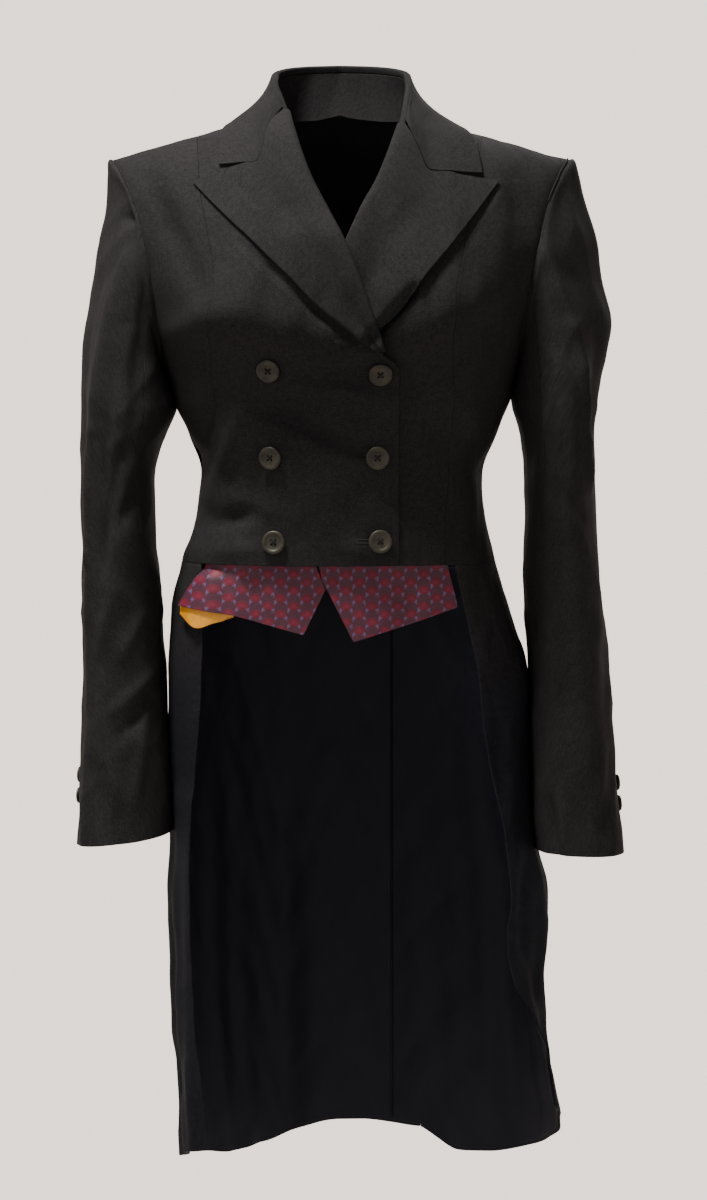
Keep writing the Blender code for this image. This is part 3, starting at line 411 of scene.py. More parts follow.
# %% Horn and thread
def horn(name):
    """Resin that is cast to look like dark horn: olive grey with drifting darker streaks."""
    paint = Paint(name, roughness=0.42, specular_ior_level=0.16)
    where, _ = paint.places("Object")
    streak = paint.noise(where, 95.0, 4.0)
    grain = paint.noise(where, 900.0, 2.0)
    streaked = (streak + grain * 0.3).above(0.45, 0.85)
    paint.feed("Base Color", paint.mix(streaked, rgb(20, 20, 16), rgb(38, 36, 29)))
    paint.feed("Roughness", 0.36 + grain * 0.16)
    paint.feed("Normal", paint.bump(grain, 0.0001, 0.35))
    return paint.material


def thread(name, colour):
    """Twisted sewing thread."""
    paint = Paint(name, roughness=0.7, specular_ior_level=0.1, sheen_weight=0.02)
    _, (x, y, z) = paint.places("Object")
    twist = ((x + y + z) * 9000.0).sin() * 0.5 + 0.5
    paint.feed("Base Color", paint.mix(twist * 0.4, colour, rgb(30, 29, 27)))
    paint.feed("Normal", paint.bump(twist, 0.0001, 0.5))
    return paint.material


HORN = horn("olive_horn")
THREAD = thread("dark_thread", rgb(8, 8, 9))
BUTTONHOLE = thread("buttonhole_thread", rgb(20, 19, 19))
print("small finishes:", ", ".join(finish.name for finish in (HORN, THREAD, BUTTONHOLE)))

# %% [markdown]
# ## Smooth tables
# Most shapes here start as a short table of sizes at a few heights. A smooth curve through each column
# gives every size between. It is a cubic curve whose slopes are held back, so it never bulges past the
# table's values.


# %% Smooth tables
class Curve:
    """A smooth curve through points, which never overshoots any of them."""

    def __init__(self, at, values):
        order = np.argsort(at)
        self.at = np.asarray(at, float)[order]
        self.values = np.asarray(values, float)[order]
        step = np.diff(self.at)
        rise = np.diff(self.values) / step
        slope = np.zeros(len(self.at))
        slope[0], slope[-1] = rise[0], rise[-1]
        same = rise[:-1] * rise[1:] > 0
        both = np.where(same, rise[:-1] + rise[1:], 1.0)
        slope[1:-1] = np.where(same, 2 * rise[:-1] * rise[1:] / both, 0.0)
        self.step, self.slope = step, slope

    def __call__(self, at):
        at = np.clip(at, self.at[0], self.at[-1])
        i = np.clip(np.searchsorted(self.at, at, side="right") - 1, 0, len(self.step) - 1)
        step = self.step[i]
        t = (at - self.at[i]) / step
        return (
            self.values[i] * (1 + 2 * t) * (1 - t) ** 2
            + self.slope[i] * step * t * (1 - t) ** 2
            + self.values[i + 1] * t * t * (3 - 2 * t)
            + self.slope[i + 1] * step * t * t * (t - 1)
        )


def columns(rows, key):
    """A table's other columns, each as a curve over its key column."""
    at = [getattr(row, key) for row in rows]
    return {name: Curve(at, [getattr(row, name) for row in rows]) for name in rows[0]._fields if name != key}


print("the curve through 0, 1 and 4, half-way to the 4:", round(float(Curve([0, 1, 2], [0, 1, 4])(1.5)), 2))

# %% [markdown]
# Three small helpers shape nearly everything: `ease` goes softly from 0 to 1, `hump` is a soft bump round
# 0, and `unit` gives vectors the length 1. numpy works them out for whole sheets of points at once.


# %% Helpers for sheets of points
def ease(t):
    """From 0 to 1 with a soft start and a soft end."""
    t = np.clip(t, 0.0, 1.0)
    return t * t * (3 - 2 * t)


def unit(vectors):
    """The same ways with the length 1."""
    return vectors / np.maximum(np.linalg.norm(vectors, axis=-1, keepdims=True), 1e-12)


def hump(away, width):
    """A soft bump, 1 in the middle."""
    return np.exp(-((away / width) ** 2))


print("half-way, ease gives", float(ease(0.5)), "and a hump's edge has", round(float(hump(1, 1)), 2))

# %% [markdown]
# ## The body surface
# A pattern cutter starts from a dress form. Here the form is a table of rings from hem to shoulder: each
# gives the half-widths on the wearer's right and left and the depths in front and behind.

# %% The rings, from the hem up to the shoulder
Ring = namedtuple("Ring", "z right left front back")
RINGS = [
    Ring(-920, 142, 192, 100, 128),
    Ring(-800, 147, 186, 100, 126),
    Ring(-690, 150, 181, 100, 124),
    Ring(-640, 147, 169, 100, 123),
    Ring(-600, 146, 164, 100, 122),
    Ring(-540, 146, 161, 99, 121),
    Ring(-490, 148, 158, 98, 119),
    Ring(-440, 147, 148, 96, 113),
    Ring(-394, 138, 136, 95, 103),
    Ring(-350, 125, 126, 95, 93),
    Ring(-318, 121, 124, 96, 90),
    Ring(-285, 131, 136, 99, 92),
    Ring(-255, 143, 148, 103, 96),
    Ring(-222, 154, 157, 108, 101),
    Ring(-195, 163, 165, 112, 106),
    Ring(-165, 174, 175, 113, 110),
    Ring(-135, 184, 185, 111, 111),
    Ring(-105, 192, 194, 107, 108),
    Ring(-75, 198, 201, 103, 102),
    Ring(-45, 204, 208, 98, 95),
]
RING = columns(RINGS, "z")
print("rings:", len(RINGS))

# %% [markdown]
# The form's sections are rounded rectangles between an ellipse and a box. Above the chest line they also
# close in towards the shoulder seam, where the front and the back meet. Two soft bumps make the bust.

# %% The form
SECTION_POWER = 2.35  # 2 would make each ring an ellipse, and more makes it squarer
CHEST_LINE = -190.0  # above this height the surface closes in towards the shoulder seam
SHOULDER_POWER = 2.6
NECK_HALF = 66.0
NECK_POINT_Z = -7.0
SHOULDER_SLOPE = 0.278
SHOULDER_Y = 8.0
BUST_X, BUST_Z = 90.0, -172.0
BUST_WIDTH, BUST_HEIGHT, BUST_DEPTH = 46.0, 50.0, 17.0
WAIST_Z = -394.0
HEM_Z = -915.0


def shoulder_z(x):
    """The height of the shoulder seam."""
    return NECK_POINT_Z - (np.abs(x) - NECK_HALF) * SHOULDER_SLOPE


def half_width(sign, z):
    """The form's half-width at a height, on the side of a sign."""
    return np.where(sign > 0, RING["left"](z), RING["right"](z))


def bare_body(angle, h):
    """Points of the form. The angle runs from the wearer's left round the back. At the seam h is 0."""
    angle, h = np.broadcast_arrays(np.asarray(angle, float), np.asarray(h, float))
    c, s = np.cos(np.radians(angle)), np.sin(np.radians(angle))
    q = np.maximum(0.0, (h - CHEST_LINE) / -CHEST_LINE)
    z = h.copy()
    for _ in range(6):
        x = np.sign(c) * half_width(c, z) * np.abs(c) ** (2 / SECTION_POWER)
        z = np.where(q > 0, CHEST_LINE + (shoulder_z(x) - CHEST_LINE) * q, h)
    close = np.maximum(0.0, 1 - q**SHOULDER_POWER) ** (1 / SHOULDER_POWER)
    depth = np.where(s < 0, RING["front"](z), RING["back"](z))
    y = SHOULDER_Y * q * q + np.sign(s) * depth * np.abs(s) ** (2 / SECTION_POWER) * close
    bust = hump(x - BUST_X, BUST_WIDTH) + hump(x + BUST_X, BUST_WIDTH)
    y = y - np.where(s < 0, BUST_DEPTH * bust * hump(z - BUST_Z, BUST_HEIGHT) * close, 0.0)
    return np.stack((x, y, z), -1)


chest = bare_body(np.linspace(0, 360, 361), -165.0)
print("the form's chest girth, mm:", round(float(np.linalg.norm(np.diff(chest, axis=0), axis=1).sum())))

# %% [markdown]
# ## Folds
# Cloth never lies as smooth as the form. Each fold here is a line with a width and a depth. It is placed
# where the worn coat shows one. In front these are the ridge under the bust, hollows in front of
# the armholes, grooves beside the lapels and drag lines from button to button.

# %% Folds of the front
Fold = namedtuple("Fold", "x1 z1 x2 z2 width depth")  # a negative depth is a trough
FRONT_FOLDS = [
    Fold(-120, -180, -24, -188, 20, 3.0),
    Fold(64, -190, 126, -166, 18, 2.6),
    Fold(-60, -188, 22, -206, 18, 5.0),
    Fold(54, -206, 108, -178, 15, 3.0),
    Fold(-150, -196, -96, -178, 12, 2.5),
    Fold(-166, -66, -120, -156, 15, -5.5),
    Fold(-150, -60, -112, -150, 9, 1.6),
    Fold(152, -66, 158, -104, 13, -4.5),
    Fold(140, -60, 134, -150, 14, 2.0),
    Fold(-68, -256, 18, -296, 8, -9.5),
    Fold(-46, -238, 44, -254, 10, 7.0),
    Fold(24, -204, 64, -160, 4.5, -6.5),
    Fold(16, -203, -30, -170, 2.6, -4.4),
    Fold(-34, -167, -84, -120, 2.6, -2.2),
    Fold(-40, -272, 40, -276, 8, 1.5),
    Fold(-84, -262, -110, -336, 8, 5.5),
    Fold(-106, -246, -124, -304, 7, -5.2),
    Fold(-106, -358, -74, -350, 8, -5.5),
    Fold(-118, -384, -60, -380, 8, 2.6),
    Fold(-64, -300, -74, -344, 9, -2.4),
    Fold(-92, -336, -40, -352, 8, 1.8),
    Fold(62, -238, 96, -300, 12, -3.2),
    Fold(76, -222, 116, -272, 9, 2.4),
    Fold(104, -272, 128, -330, 9, -2.4),
    Fold(20, -330, 84, -352, 10, -2.6),
    Fold(0, -378, 44, -384, 8, 2.6),
    Fold(60, -372, 112, -384, 8, 1.6),
    Fold(96, -320, 116, -380, 9, 2.2),
    Fold(-26, -306, 14, -340, 12, 2.2),
]
print("folds of the front:", len(FRONT_FOLDS))

# %% [markdown]
# The tails' front strips have long wavy folds, and the back has shallow hollows beside the arms and
# across the small of the back.

# %% Folds of the tails and of the back
TAIL_FOLDS = [
    Fold(156, -470, 146, -560, 7, 2.2),
    Fold(132, -500, 140, -600, 6, -2.6),
    Fold(142, -600, 152, -690, 6, 3.0),
    Fold(158, -660, 160, -760, 6, -3.0),
    Fold(150, -720, 166, -790, 6, 3.2),
    Fold(170, -780, 180, -850, 6, 2.6),
    Fold(-126, -600, -128, -760, 6, 2.4),
    Fold(-140, -640, -140, -760, 6, -2.4),
    Fold(-132, -830, -124, -905, 5, 3.4),
    Fold(-138, -790, -136, -860, 5, -3.0),
]
BACK_FOLDS = [
    Fold(-140, -120, -96, -170, 14, -2.4),
    Fold(142, -118, 98, -168, 14, -2.4),
    Fold(-90, -330, -20, -346, 12, -2.0),
    Fold(88, -334, 24, -350, 12, -2.0),
    Fold(-104, -300, -40, -312, 10, 1.6),
    Fold(104, -304, 44, -318, 10, 1.6),
    Fold(-60, -70, 60, -70, 16, 1.2),
]
print("folds of the tails and back:", len(TAIL_FOLDS), "and", len(BACK_FOLDS))

# %% [markdown]
# Below the waist the cloth hangs free and stands in flutes, which deepen towards the hem. A flute keeps
# its angle round the body. The sides of the tails also swing outwards and back, and so does the coat's
# outline.

# %% Flutes of the tails
Flute = namedtuple("Flute", "angle start width height")
TAIL_FLUTES = [
    Flute(-24, -660, 12, 5.0),
    Flute(30, -560, 12, 5.0),
    Flute(56, -420, 11, -4.5),
    Flute(74, -420, 8, 4.0),
    Flute(112, -420, 10, 4.5),
    Flute(134, -430, 11, -5.0),
    Flute(156, -540, 11, 4.0),
    Flute(-154, -480, 9, 3.0),
]
Swing = namedtuple("Swing", "z left right")  # how the tails' sides wander outwards and back
SIDE_WAVES = [
    Swing(-400, 0, 0),
    Swing(-440, 2, 1),
    Swing(-491, 6, 2.5),
    Swing(-552, 7.5, 4.5),
    Swing(-605, 7.5, 4.5),
    Swing(-656, 4, 2),
    Swing(-703, 3, 1),
    Swing(-730, 0, 0.5),
    Swing(-758, -4, 0.5),
    Swing(-806, -5, 1.5),
    Swing(-843, -1, -3),
    Swing(-868, 3, -2.5),
    Swing(-890, 7, -1.5),
    Swing(-945, 9, -1.5),
]
LEFT_SWING_WIDTH, RIGHT_SWING_WIDTH = 34, 30  # degrees
SWING = columns(SIDE_WAVES, "z")
print("flutes:", len(TAIL_FLUTES))

# %% [markdown]
# One function adds up any table of folds. Across a fold the height is a hump, and along it the fold is
# strongest in its middle and dies away at its ends.


# %% How far folds and flutes stand out
def folds_out(table, a, b):
    """How far a table's folds stand out at places given in the same two coordinates."""
    out = np.zeros(np.broadcast(a, b).shape)
    for f in table:
        run = np.array((f.x2 - f.x1, f.z2 - f.z1), float)
        da, db = a - f.x1, b - f.z1
        t = np.clip((da * run[0] + db * run[1]) / (run @ run), 0.0, 1.0)
        away = np.hypot(da - run[0] * t, db - run[1] * t)
        out += f.depth * hump(away, f.width) * (0.55 + 0.45 * np.sin(math.pi * t))
    return out


def flutes_out(angle, z):
    """How far the tails' flutes and swings stand out."""
    out = np.zeros(np.broadcast(angle, z).shape)
    for f in TAIL_FLUTES:
        away = (angle - f.angle + 180) % 360 - 180
        out += f.height * ease((f.start - z) / (f.start - HEM_Z)) * hump(away, f.width)
    from_left = (angle + 180) % 360 - 180
    from_right = angle % 360 - 180
    swing = SWING["left"](z) * hump(from_left, LEFT_SWING_WIDTH)
    out += swing + SWING["right"](z) * hump(from_right, RIGHT_SWING_WIDTH)
    low = ease((WAIST_Z - 40 - z) / 420)
    broad_waves = 1.5 * np.sin(np.radians(angle * 15 + z * 0.10))
    small_waves = 0.9 * np.sin(np.radians(angle * 27 - z * 0.16))
    return out + low * (broad_waves + small_waves)


print("the left tail's side at the hem stands out by, mm:", round(float(flutes_out(0.0, HEM_Z)), 1))

# %% [markdown]
# Worn cloth is never quite even between its folds. Four long soft waves lie over everything. Creases come
# from smooth random hills: one minus a hill's height without its sign has a ridge wherever the hills
# cross zero.

# %% Ripples and creases
Ripple = namedtuple("Ripple", "x z phase height")  # wavelengths across and down
RIPPLES = [
    Ripple(61, 173, 0.4, 0.35),
    Ripple(-43, 97, 2.1, 0.25),
    Ripple(29, -71, 4.0, 0.16),
    Ripple(17, 41, 1.2, 0.08),
]


def ripples_out(a, b):
    """How far the long soft waves stand out."""
    return sum(r.height * np.sin(math.tau * (a / r.x + b / r.z) + r.phase) for r in RIPPLES)


LATTICE_SIZE = 64
LATTICE = np.random.default_rng(7).uniform(-1, 1, (LATTICE_SIZE, LATTICE_SIZE))


def lumps(a, b):
    """Smooth random hills one unit apart."""
    a, b = np.broadcast_arrays(np.asarray(a, float), np.asarray(b, float))
    i, j = np.floor(a).astype(int), np.floor(b).astype(int)
    s, t = ease(a - i), ease(b - j)

    def at(di, dj):
        return LATTICE[(i + di) % LATTICE_SIZE, (j + dj) % LATTICE_SIZE]

    return (at(0, 0) * (1 - s) + at(1, 0) * s) * (1 - t) + (at(0, 1) * (1 - s) + at(1, 1) * s) * t


def crumple(a, b, height):
    """Worn cloth's own unevenness: long soft creases that run mostly down, and smaller ones on them."""
    lean = a + 0.35 * b
    long_crease = 1 - 2 * np.abs(lumps(lean / 26, b / 74))
    cross = 1 - 2 * np.abs(lumps((a - 0.9 * b) / 33 + 17.3, (a + b) / 61 + 5.1))
    small = lumps(a / 11 + 31.7, b / 17 + 9.4)
    return height * (long_crease * 0.9 + cross * 0.6 + small * 0.35)


print("random heights:", LATTICE.size)

# %% [markdown]
# ## The coat's outer face
# Now the form and its folds make one surface. The folds push each point out along the form's own normal,
# which comes from the points just beside it and above it. Every piece of the bodice and tails is cut from
# this surface.

# %% The outer face
CREASE_FRONT, CREASE_BACK = 0.75, 0.6  # the creases' heights
SHOULDER_CALM = -90.0  # above this height the padded shoulders lose their creases


def body(angle, h, out=0.0):
    """Points of the coat's outer face, moved out along the form."""
    angle, h = np.broadcast_arrays(np.asarray(angle, float), np.asarray(h, float))
    here = bare_body(angle, h)
    turn, rise = 0.6, 1.5
    around = bare_body(angle + turn, h) - bare_body(angle - turn, h)
    up = bare_body(angle, np.minimum(h + rise, 0)) - bare_body(angle, h - rise)
    normal = unit(np.cross(around, up))
    x, y, z = here[..., 0], here[..., 1], here[..., 2]
    bodice = ease((z - WAIST_Z + 12) / 14)
    lift = np.where(y < 0, folds_out(FRONT_FOLDS, x, z), folds_out(BACK_FOLDS, x, z)) * bodice
    strips = np.where(y < 0, folds_out(TAIL_FOLDS, x, z), 0.0) * ease((WAIST_Z - 20 - z) / 40)
    tails = flutes_out(angle, z) + strips
    calm = np.where(z > SHOULDER_CALM, ease((-30 - z) / 60), 1.0)
    worn = np.where(y < 0, CREASE_FRONT, CREASE_BACK) * calm
    creases = crumple(x * 1.2 + y * 0.4, z, worn)
    lift = lift + np.where(z < WAIST_Z, tails, 0.0) + ripples_out(x + y, z) + creases
    return here + normal * (out + lift)[..., None]


print("the front's point at the waist, mm:", body(-90.0, WAIST_Z).round(1))

# %% [markdown]
# Seams and edges are easiest to mark as seen from the front: so far across, so high. These helpers turn
# such a mark into the surface's own angle and height, and back.


# %% Marks on the surface
def place(x, z, side=-1):
    """The angle and height of points of the front (side -1) or back (side 1) given as (x, z)."""
    x, z = np.broadcast_arrays(np.asarray(x, float), np.asarray(z, float))
    q = (z - CHEST_LINE) / (shoulder_z(x) - CHEST_LINE)
    h = np.where(q <= 0, z, -CHEST_LINE * np.minimum(q, 1.0) + CHEST_LINE)
    share = np.minimum(1.0, np.abs(x) / half_width(x, z)) ** (SECTION_POWER / 2)
    angle = np.degrees(np.arccos(share))
    return side * np.where(x < 0, 180 - angle, angle), h


def front(x, z, out=0.0):
    """Points of the front given as (x, z), which may stand off it."""
    return body(*place(x, z), out)


def height_here(x, h):
    """The height in space of a point of the form at x whose own height is h."""
    above = CHEST_LINE + (shoulder_z(x) - CHEST_LINE) * (h - CHEST_LINE) / -CHEST_LINE
    return np.where(h > CHEST_LINE, above, h)


print("the bust's middle, mm:", front(-BUST_X, BUST_Z).round(1))

# %% [markdown]
# ## From points to cloth
# Each piece begins as a grid of points on its outer face. The wall is a second grid inside it, and the
# two are joined by a rim that is half round, as a folded and pressed edge is. Where two pieces meet,
# their round rims leave the fine groove of a sewn seam. The UV map is measured along the cloth, in
# metres.

# %% Measuring and trimming a grid
CLOTH = 1.6
THIN = 1.0  # for lining and silk


def lengths(grid, axis):
    """How far each point of a grid lies along its own line, measured over the cloth."""
    steps = np.linalg.norm(np.diff(grid, axis=axis), axis=-1)
    start = np.zeros_like(np.take(steps, [0], axis=axis))
    return np.concatenate((start, np.cumsum(steps, axis=axis)), axis=axis)


def trim(grid, by):
    """Draws a grid's four edges in by a distance."""
    grid = grid.copy()
    for axis in (0, 1):
        lines = np.swapaxes(grid, 0, axis)
        lines[0] += unit(lines[1] - lines[0]) * by
        lines[-1] += unit(lines[-2] - lines[-1]) * by
    return grid


def normals_of(grid, inside, facing_in):
    """A grid's normals, which look away from a point in plan."""
    normal = unit(np.cross(np.gradient(grid, axis=1), np.gradient(grid, axis=0)))
    r, c = grid.shape[0] // 2, grid.shape[1] // 2
    away = normal[r, c, :2] @ (grid[r, c, :2] - np.asarray(inside, float))
    return normal if (away > 0) != facing_in else -normal


print("wall of wool and of lining, mm:", CLOTH, THIN)

# %% [markdown]
# A cut edge of cloth is turned in and pressed, so it is round. The rim is made of a few loops of points
# that walk once round the grid's border and swing from the outer face to the inner one. The custom
# normals keep the faces smooth and let the round rim catch the light.

# %% The rim and the wall
RIM_STEPS = 4


def edge_walk(rows, cols):
    """The grid's border once round, as (row, column)."""
    walk = [(0, c) for c in range(cols)] + [(r, cols - 1) for r in range(1, rows)]
    walk += [(rows - 1, c) for c in range(cols - 2, -1, -1)] + [(r, 0) for r in range(rows - 2, 0, -1)]
    return walk


def ways_out(grid, normal, walk):
    """At each border point, the way that leads out of the grid and lies flat on the cloth."""
    rows, cols, _ = grid.shape
    found = []
    for r, c in walk:
        ways = []
        if r in (0, rows - 1):
            ways.append(grid[r, c] - grid[1 if r == 0 else rows - 2, c])
        if c in (0, cols - 1):
            ways.append(grid[r, c] - grid[r, 1 if c == 0 else cols - 2])
        out = sum(way / max(np.linalg.norm(way), 1e-9) for way in ways)
        out = out - normal[r, c] * (out @ normal[r, c])
        found.append(out / max(np.linalg.norm(out), 1e-9))
    return np.array(found)


def wall_mesh(name, grid, wall, normal, uv):
    """A closed wall of cloth: an outer face, an inner face and a round rim."""
    rows, cols, _ = grid.shape
    inner = grid - normal * wall
    points = [grid.reshape(-1, 3), inner.reshape(-1, 3)]
    flat_uv = uv.reshape(-1, 2)
    uvs = [flat_uv, flat_uv]
    walk = edge_walk(rows, cols)
    border = np.array([r * cols + c for r, c in walk])
    rim_out = ways_out(grid, normal, walk)
    rim_normal = normal.reshape(-1, 3)[border]
    middle = grid.reshape(-1, 3)[border] - rim_normal * (wall / 2)
    count = rows * cols
    loops, rim_looks = [border], []
    for k in range(1, RIM_STEPS):
        a = math.pi * k / RIM_STEPS
        loops.append(2 * count + (k - 1) * len(walk) + np.arange(len(walk)))
        rim_looks.append(rim_normal * math.cos(a) + rim_out * math.sin(a))
        points.append(middle + rim_looks[-1] * (wall / 2))
        uvs.append(flat_uv[border])
    loops.append(border + count)
    index = np.arange(count).reshape(rows, cols)
    quads = np.stack((index[:-1, :-1], index[:-1, 1:], index[1:, 1:], index[1:, :-1]), -1).reshape(-1, 4)
    faces = [quads, quads[:, ::-1] + count]
    for high, low in zip(loops, loops[1:]):
        faces.append(np.stack((high, low, np.roll(low, -1), np.roll(high, -1)), -1))
    points, uvs, faces = np.concatenate(points), np.concatenate(uvs), np.concatenate(faces)
    looks = np.cross(grid[0, 1] - grid[0, 0], grid[1, 0] - grid[0, 0]) @ normal[0, 0]
    if looks < 0:
        faces = faces[:, ::-1]
    mesh = bpy.data.meshes.new(name)
    mesh.from_pydata((points * MM).tolist(), [], faces.tolist())
    layer = mesh.uv_layers.new(name="cloth")
    corner = np.zeros(len(mesh.loops), np.int32)
    mesh.loops.foreach_get("vertex_index", corner)
    layer.data.foreach_set("uv", (uvs[corner] * MM).astype(np.float32).ravel())
    mesh.shade_smooth()
    flat = normal.reshape(-1, 3)
    mesh.normals_split_custom_set_from_vertices(np.concatenate([flat, -flat] + rim_looks).tolist())
    return mesh, len(quads)


print("points across a rim:", RIM_STEPS + 1)

# %% [markdown]
# Every piece of cloth goes through one function: it trims the grid for the rim, builds the wall and puts it
# in the scene. Nobody has this coat's pattern.


def finish_piece(name, mesh, nodes):
    """Puts a finished mesh in the scene, on the frame's only body."""
    piece = bpy.data.objects.new(name, mesh)
    bpy.context.scene.collection.objects.link(piece)
    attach(piece, "root")
    if nodes:
        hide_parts(*nodes)
    return piece


def cloth(
    name, grid, finish=WOOL, lining=None, wall=CLOTH, inside=(0, 0),
    facing_in=False, gap=-0.05, uv=None,
):
    """One cut piece: the grid is its outer face. A lining colours the inner face."""
    grid = trim(grid, wall / 2 + gap)
    normal = normals_of(grid, inside, facing_in)
    if uv is None:
        uv = np.stack((lengths(grid, 1), lengths(grid, 0)), -1)
    mesh, quads = wall_mesh(name, grid, wall, normal, uv)
    mesh.materials.append(finish)
    if lining is not None:
        mesh.materials.append(lining)
        slots = np.zeros(len(mesh.polygons), np.int32)
        slots[quads : 2 * quads] = 1
        mesh.polygons.foreach_set("material_index", slots)
    piece = finish_piece(name, mesh, [name])
    a, b = grid[:-1, 1:] - grid[:-1, :-1], grid[1:, :-1] - grid[:-1, :-1]
    return piece


# %% [markdown]
# ## The bodice
# The bodice has princess seams: curved seams from the shoulder over the bust to the waist, which shape it
# without darts. The wearer's right front lies on top and carries both rows of buttons. It stands a few
# millimetres off the left front, and a little more where it crosses the other lapel.

# %% Seams and edges of the bodice
Seam = namedtuple("Seam", "z right left")
PRINCESS = [
    Seam(-394, 88, 90),
    Seam(-376, 89, 90),
    Seam(-310, 101, 94),
    Seam(-246, 109, 97),
    Seam(-197, 110, 96),
    Seam(-163, 106, 98),
    Seam(-141, 107, 102),
    Seam(-114, 111, 107),
    Seam(-78, 118, 115),
    Seam(-20, 124, 124),
]
ARMHOLE_FRONT = [
    Seam(-222, 154, 157),
    Seam(-216, 154, 156),
    Seam(-197, 155, 157),
    Seam(-171, 158, 160),
    Seam(-135, 164, 166),
    Seam(-105, 171, 174),
    Seam(-77, 180, 182),
    Seam(-56, 190, 192),
    Seam(-44, 198, 200),
]
ARMHOLE_BACK = [
    Seam(-222, 154, 157),
    Seam(-216, 153.5, 156),
    Seam(-197, 156, 158),
    Seam(-171, 161, 163),
    Seam(-135, 169, 171),
    Seam(-105, 176, 178),
    Seam(-77, 184, 186),
    Seam(-56, 192, 194),
    Seam(-44, 198, 200),
]
UNDERARM = -222.0
print("points of each armhole:", len(ARMHOLE_FRONT) + len(ARMHOLE_BACK) - 2)

# %% [markdown]
# The fronts' inner edges run up from the waist to the button and then along the line where the lapel
# rolls over.

# %% Front edges
Edge = namedtuple("Edge", "z x")
TOP_FRONT_EDGE = [
    Edge(-394, 50),
    Edge(-300, 50),
    Edge(-226, 50),
    Edge(-220, 47),
    Edge(-214, 39),
    Edge(-209, 35),
    Edge(-185, 27),
    Edge(-127, 3),
    Edge(-93, -14),
    Edge(-61, -30),
    Edge(-20, -44),
    Edge(-9, -47),
]
UNDER_FRONT_EDGE = [
    Edge(-394, -73),
    Edge(-300, -73),
    Edge(-226, -70),
    Edge(-213, -36),
    Edge(-200, -30),
    Edge(-160, -10),
    Edge(-123, 8),
    Edge(-93, 22),
    Edge(-61, 39),
    Edge(-21, 54),
    Edge(-9, 57),
]
BACK_SEAM_WAIST, BACK_SEAM_CHEST, BACK_SEAM_SHOULDER = 52.0, 84.0, 120.0
LAP_LIFT = 3.2
LAPEL_LIFT = 4.6
SIDES = ("right", "left")
print("the fronts lap at the waist by, mm:", TOP_FRONT_EDGE[0].x - UNDER_FRONT_EDGE[0].x)

# %% [markdown]
# A seam is marked as it is seen from the front, but a panel needs the seam's angle on each row. The row's
# real height depends on how the shoulder slopes there, so both are found by a few rounds of looking
# again.


# %% Where seams and edges cross each row
def sign_of(side_name):
    """The wearer's left is on +X."""
    return 1 if side_name == "left" else -1


def seam_place(table, side_name, h, half=-1):
    """The angle at which a seam given in (x, z) crosses each height h."""
    sign, curve = sign_of(side_name), columns(table, "z")[side_name]
    h = np.asarray(h, float)
    z = h.copy()
    for _ in range(5):
        x = sign * curve(z)
        z = height_here(x, h)
    return place(x, z, half)[0]


def back_seam_angle(side_name, h):
    """The seam between the centre back and the side back."""
    h = np.asarray(h, float)
    shoulder = BACK_SEAM_SHOULDER
    halves = Curve(
        [WAIST_Z, -330, -190, -60, 0],
        [BACK_SEAM_WAIST + 6, BACK_SEAM_WAIST, BACK_SEAM_CHEST, shoulder - 4, shoulder],
    )
    below = BACK_SEAM_WAIST + 6 + 16 * ease((WAIST_Z - h) / 520)
    x = sign_of(side_name) * np.where(h < WAIST_Z, below, halves(h))
    return place(x, height_here(x, h), 1)[0]


def edge_angle(table, h):
    """The angle at which a front edge crosses each height h."""
    curve = columns(table, "z")["x"]
    z = np.asarray(h, float).copy()
    x = curve(z)
    for _ in range(5):
        z = height_here(x, h)
        x = curve(z)
    return place(x, z)[0]


def top_front_lift(angle, h):
    """How far the top front stands off, over the under front and over the other lapel."""
    p = bare_body(angle, h)
    over = ease((p[..., 0] + 104) / 30) * ease((-70 - p[..., 2]) / 50)
    lapel = ease((p[..., 0] + 62) / 26) * ease((p[..., 2] + 240) / 24) * ease((-88 - p[..., 2]) / 34)
    return LAP_LIFT * over + LAPEL_LIFT * lapel


print("the back seam's angle at the waist:", round(float(back_seam_angle("left", WAIST_Z)), 1))

# %% [markdown]
# A panel is a grid between its two seams. Its rows lie 3.4 mm apart, close enough for every crease, and
# closer at the shoulder, where the surface turns over quickly.

# %% Panels
def steps(start, end, spacing):
    """Evenly spaced values from start to end, both kept."""
    return np.linspace(start, end, max(3, int(round(abs(end - start) / spacing)) + 1))


SPACING = 3.4
SHOULDER_ROWS = -24 * (1 - np.linspace(0, 1, 14)[1:]) ** 2.0
BODICE_ROWS = np.concatenate((steps(WAIST_Z, -24, SPACING), SHOULDER_ROWS))


def panel(inner, outer, rows, count, lift=None):
    """A grid between two edges, given as an angle for each row."""
    t = np.linspace(0, 1, count)
    angle = inner[:, None] + (outer - inner)[:, None] * t
    h = np.broadcast_to(rows[:, None], angle.shape)
    return body(angle, h, 0.0 if lift is None else lift(angle, h))


def front_panel(edge, side_name, lift=None):
    """A front, from its inner edge to the princess seam. The top of its edge follows the neck."""
    h = BODICE_ROWS
    inner = edge_angle(edge, h)
    outer = seam_place(PRINCESS, side_name, h)
    neck = sign_of(side_name) * NECK_HALF
    inner = np.where(h > -9, place(neck, shoulder_z(neck) + h)[0], inner)
    return panel(inner, outer, h, 52, lift)


print("rows of a bodice panel:", len(BODICE_ROWS))

# %% [markdown]
# The pieces are cut from front to back. At the side, each panel ends at the armhole above and at the side
# seam below it, which lies straight under the arm.

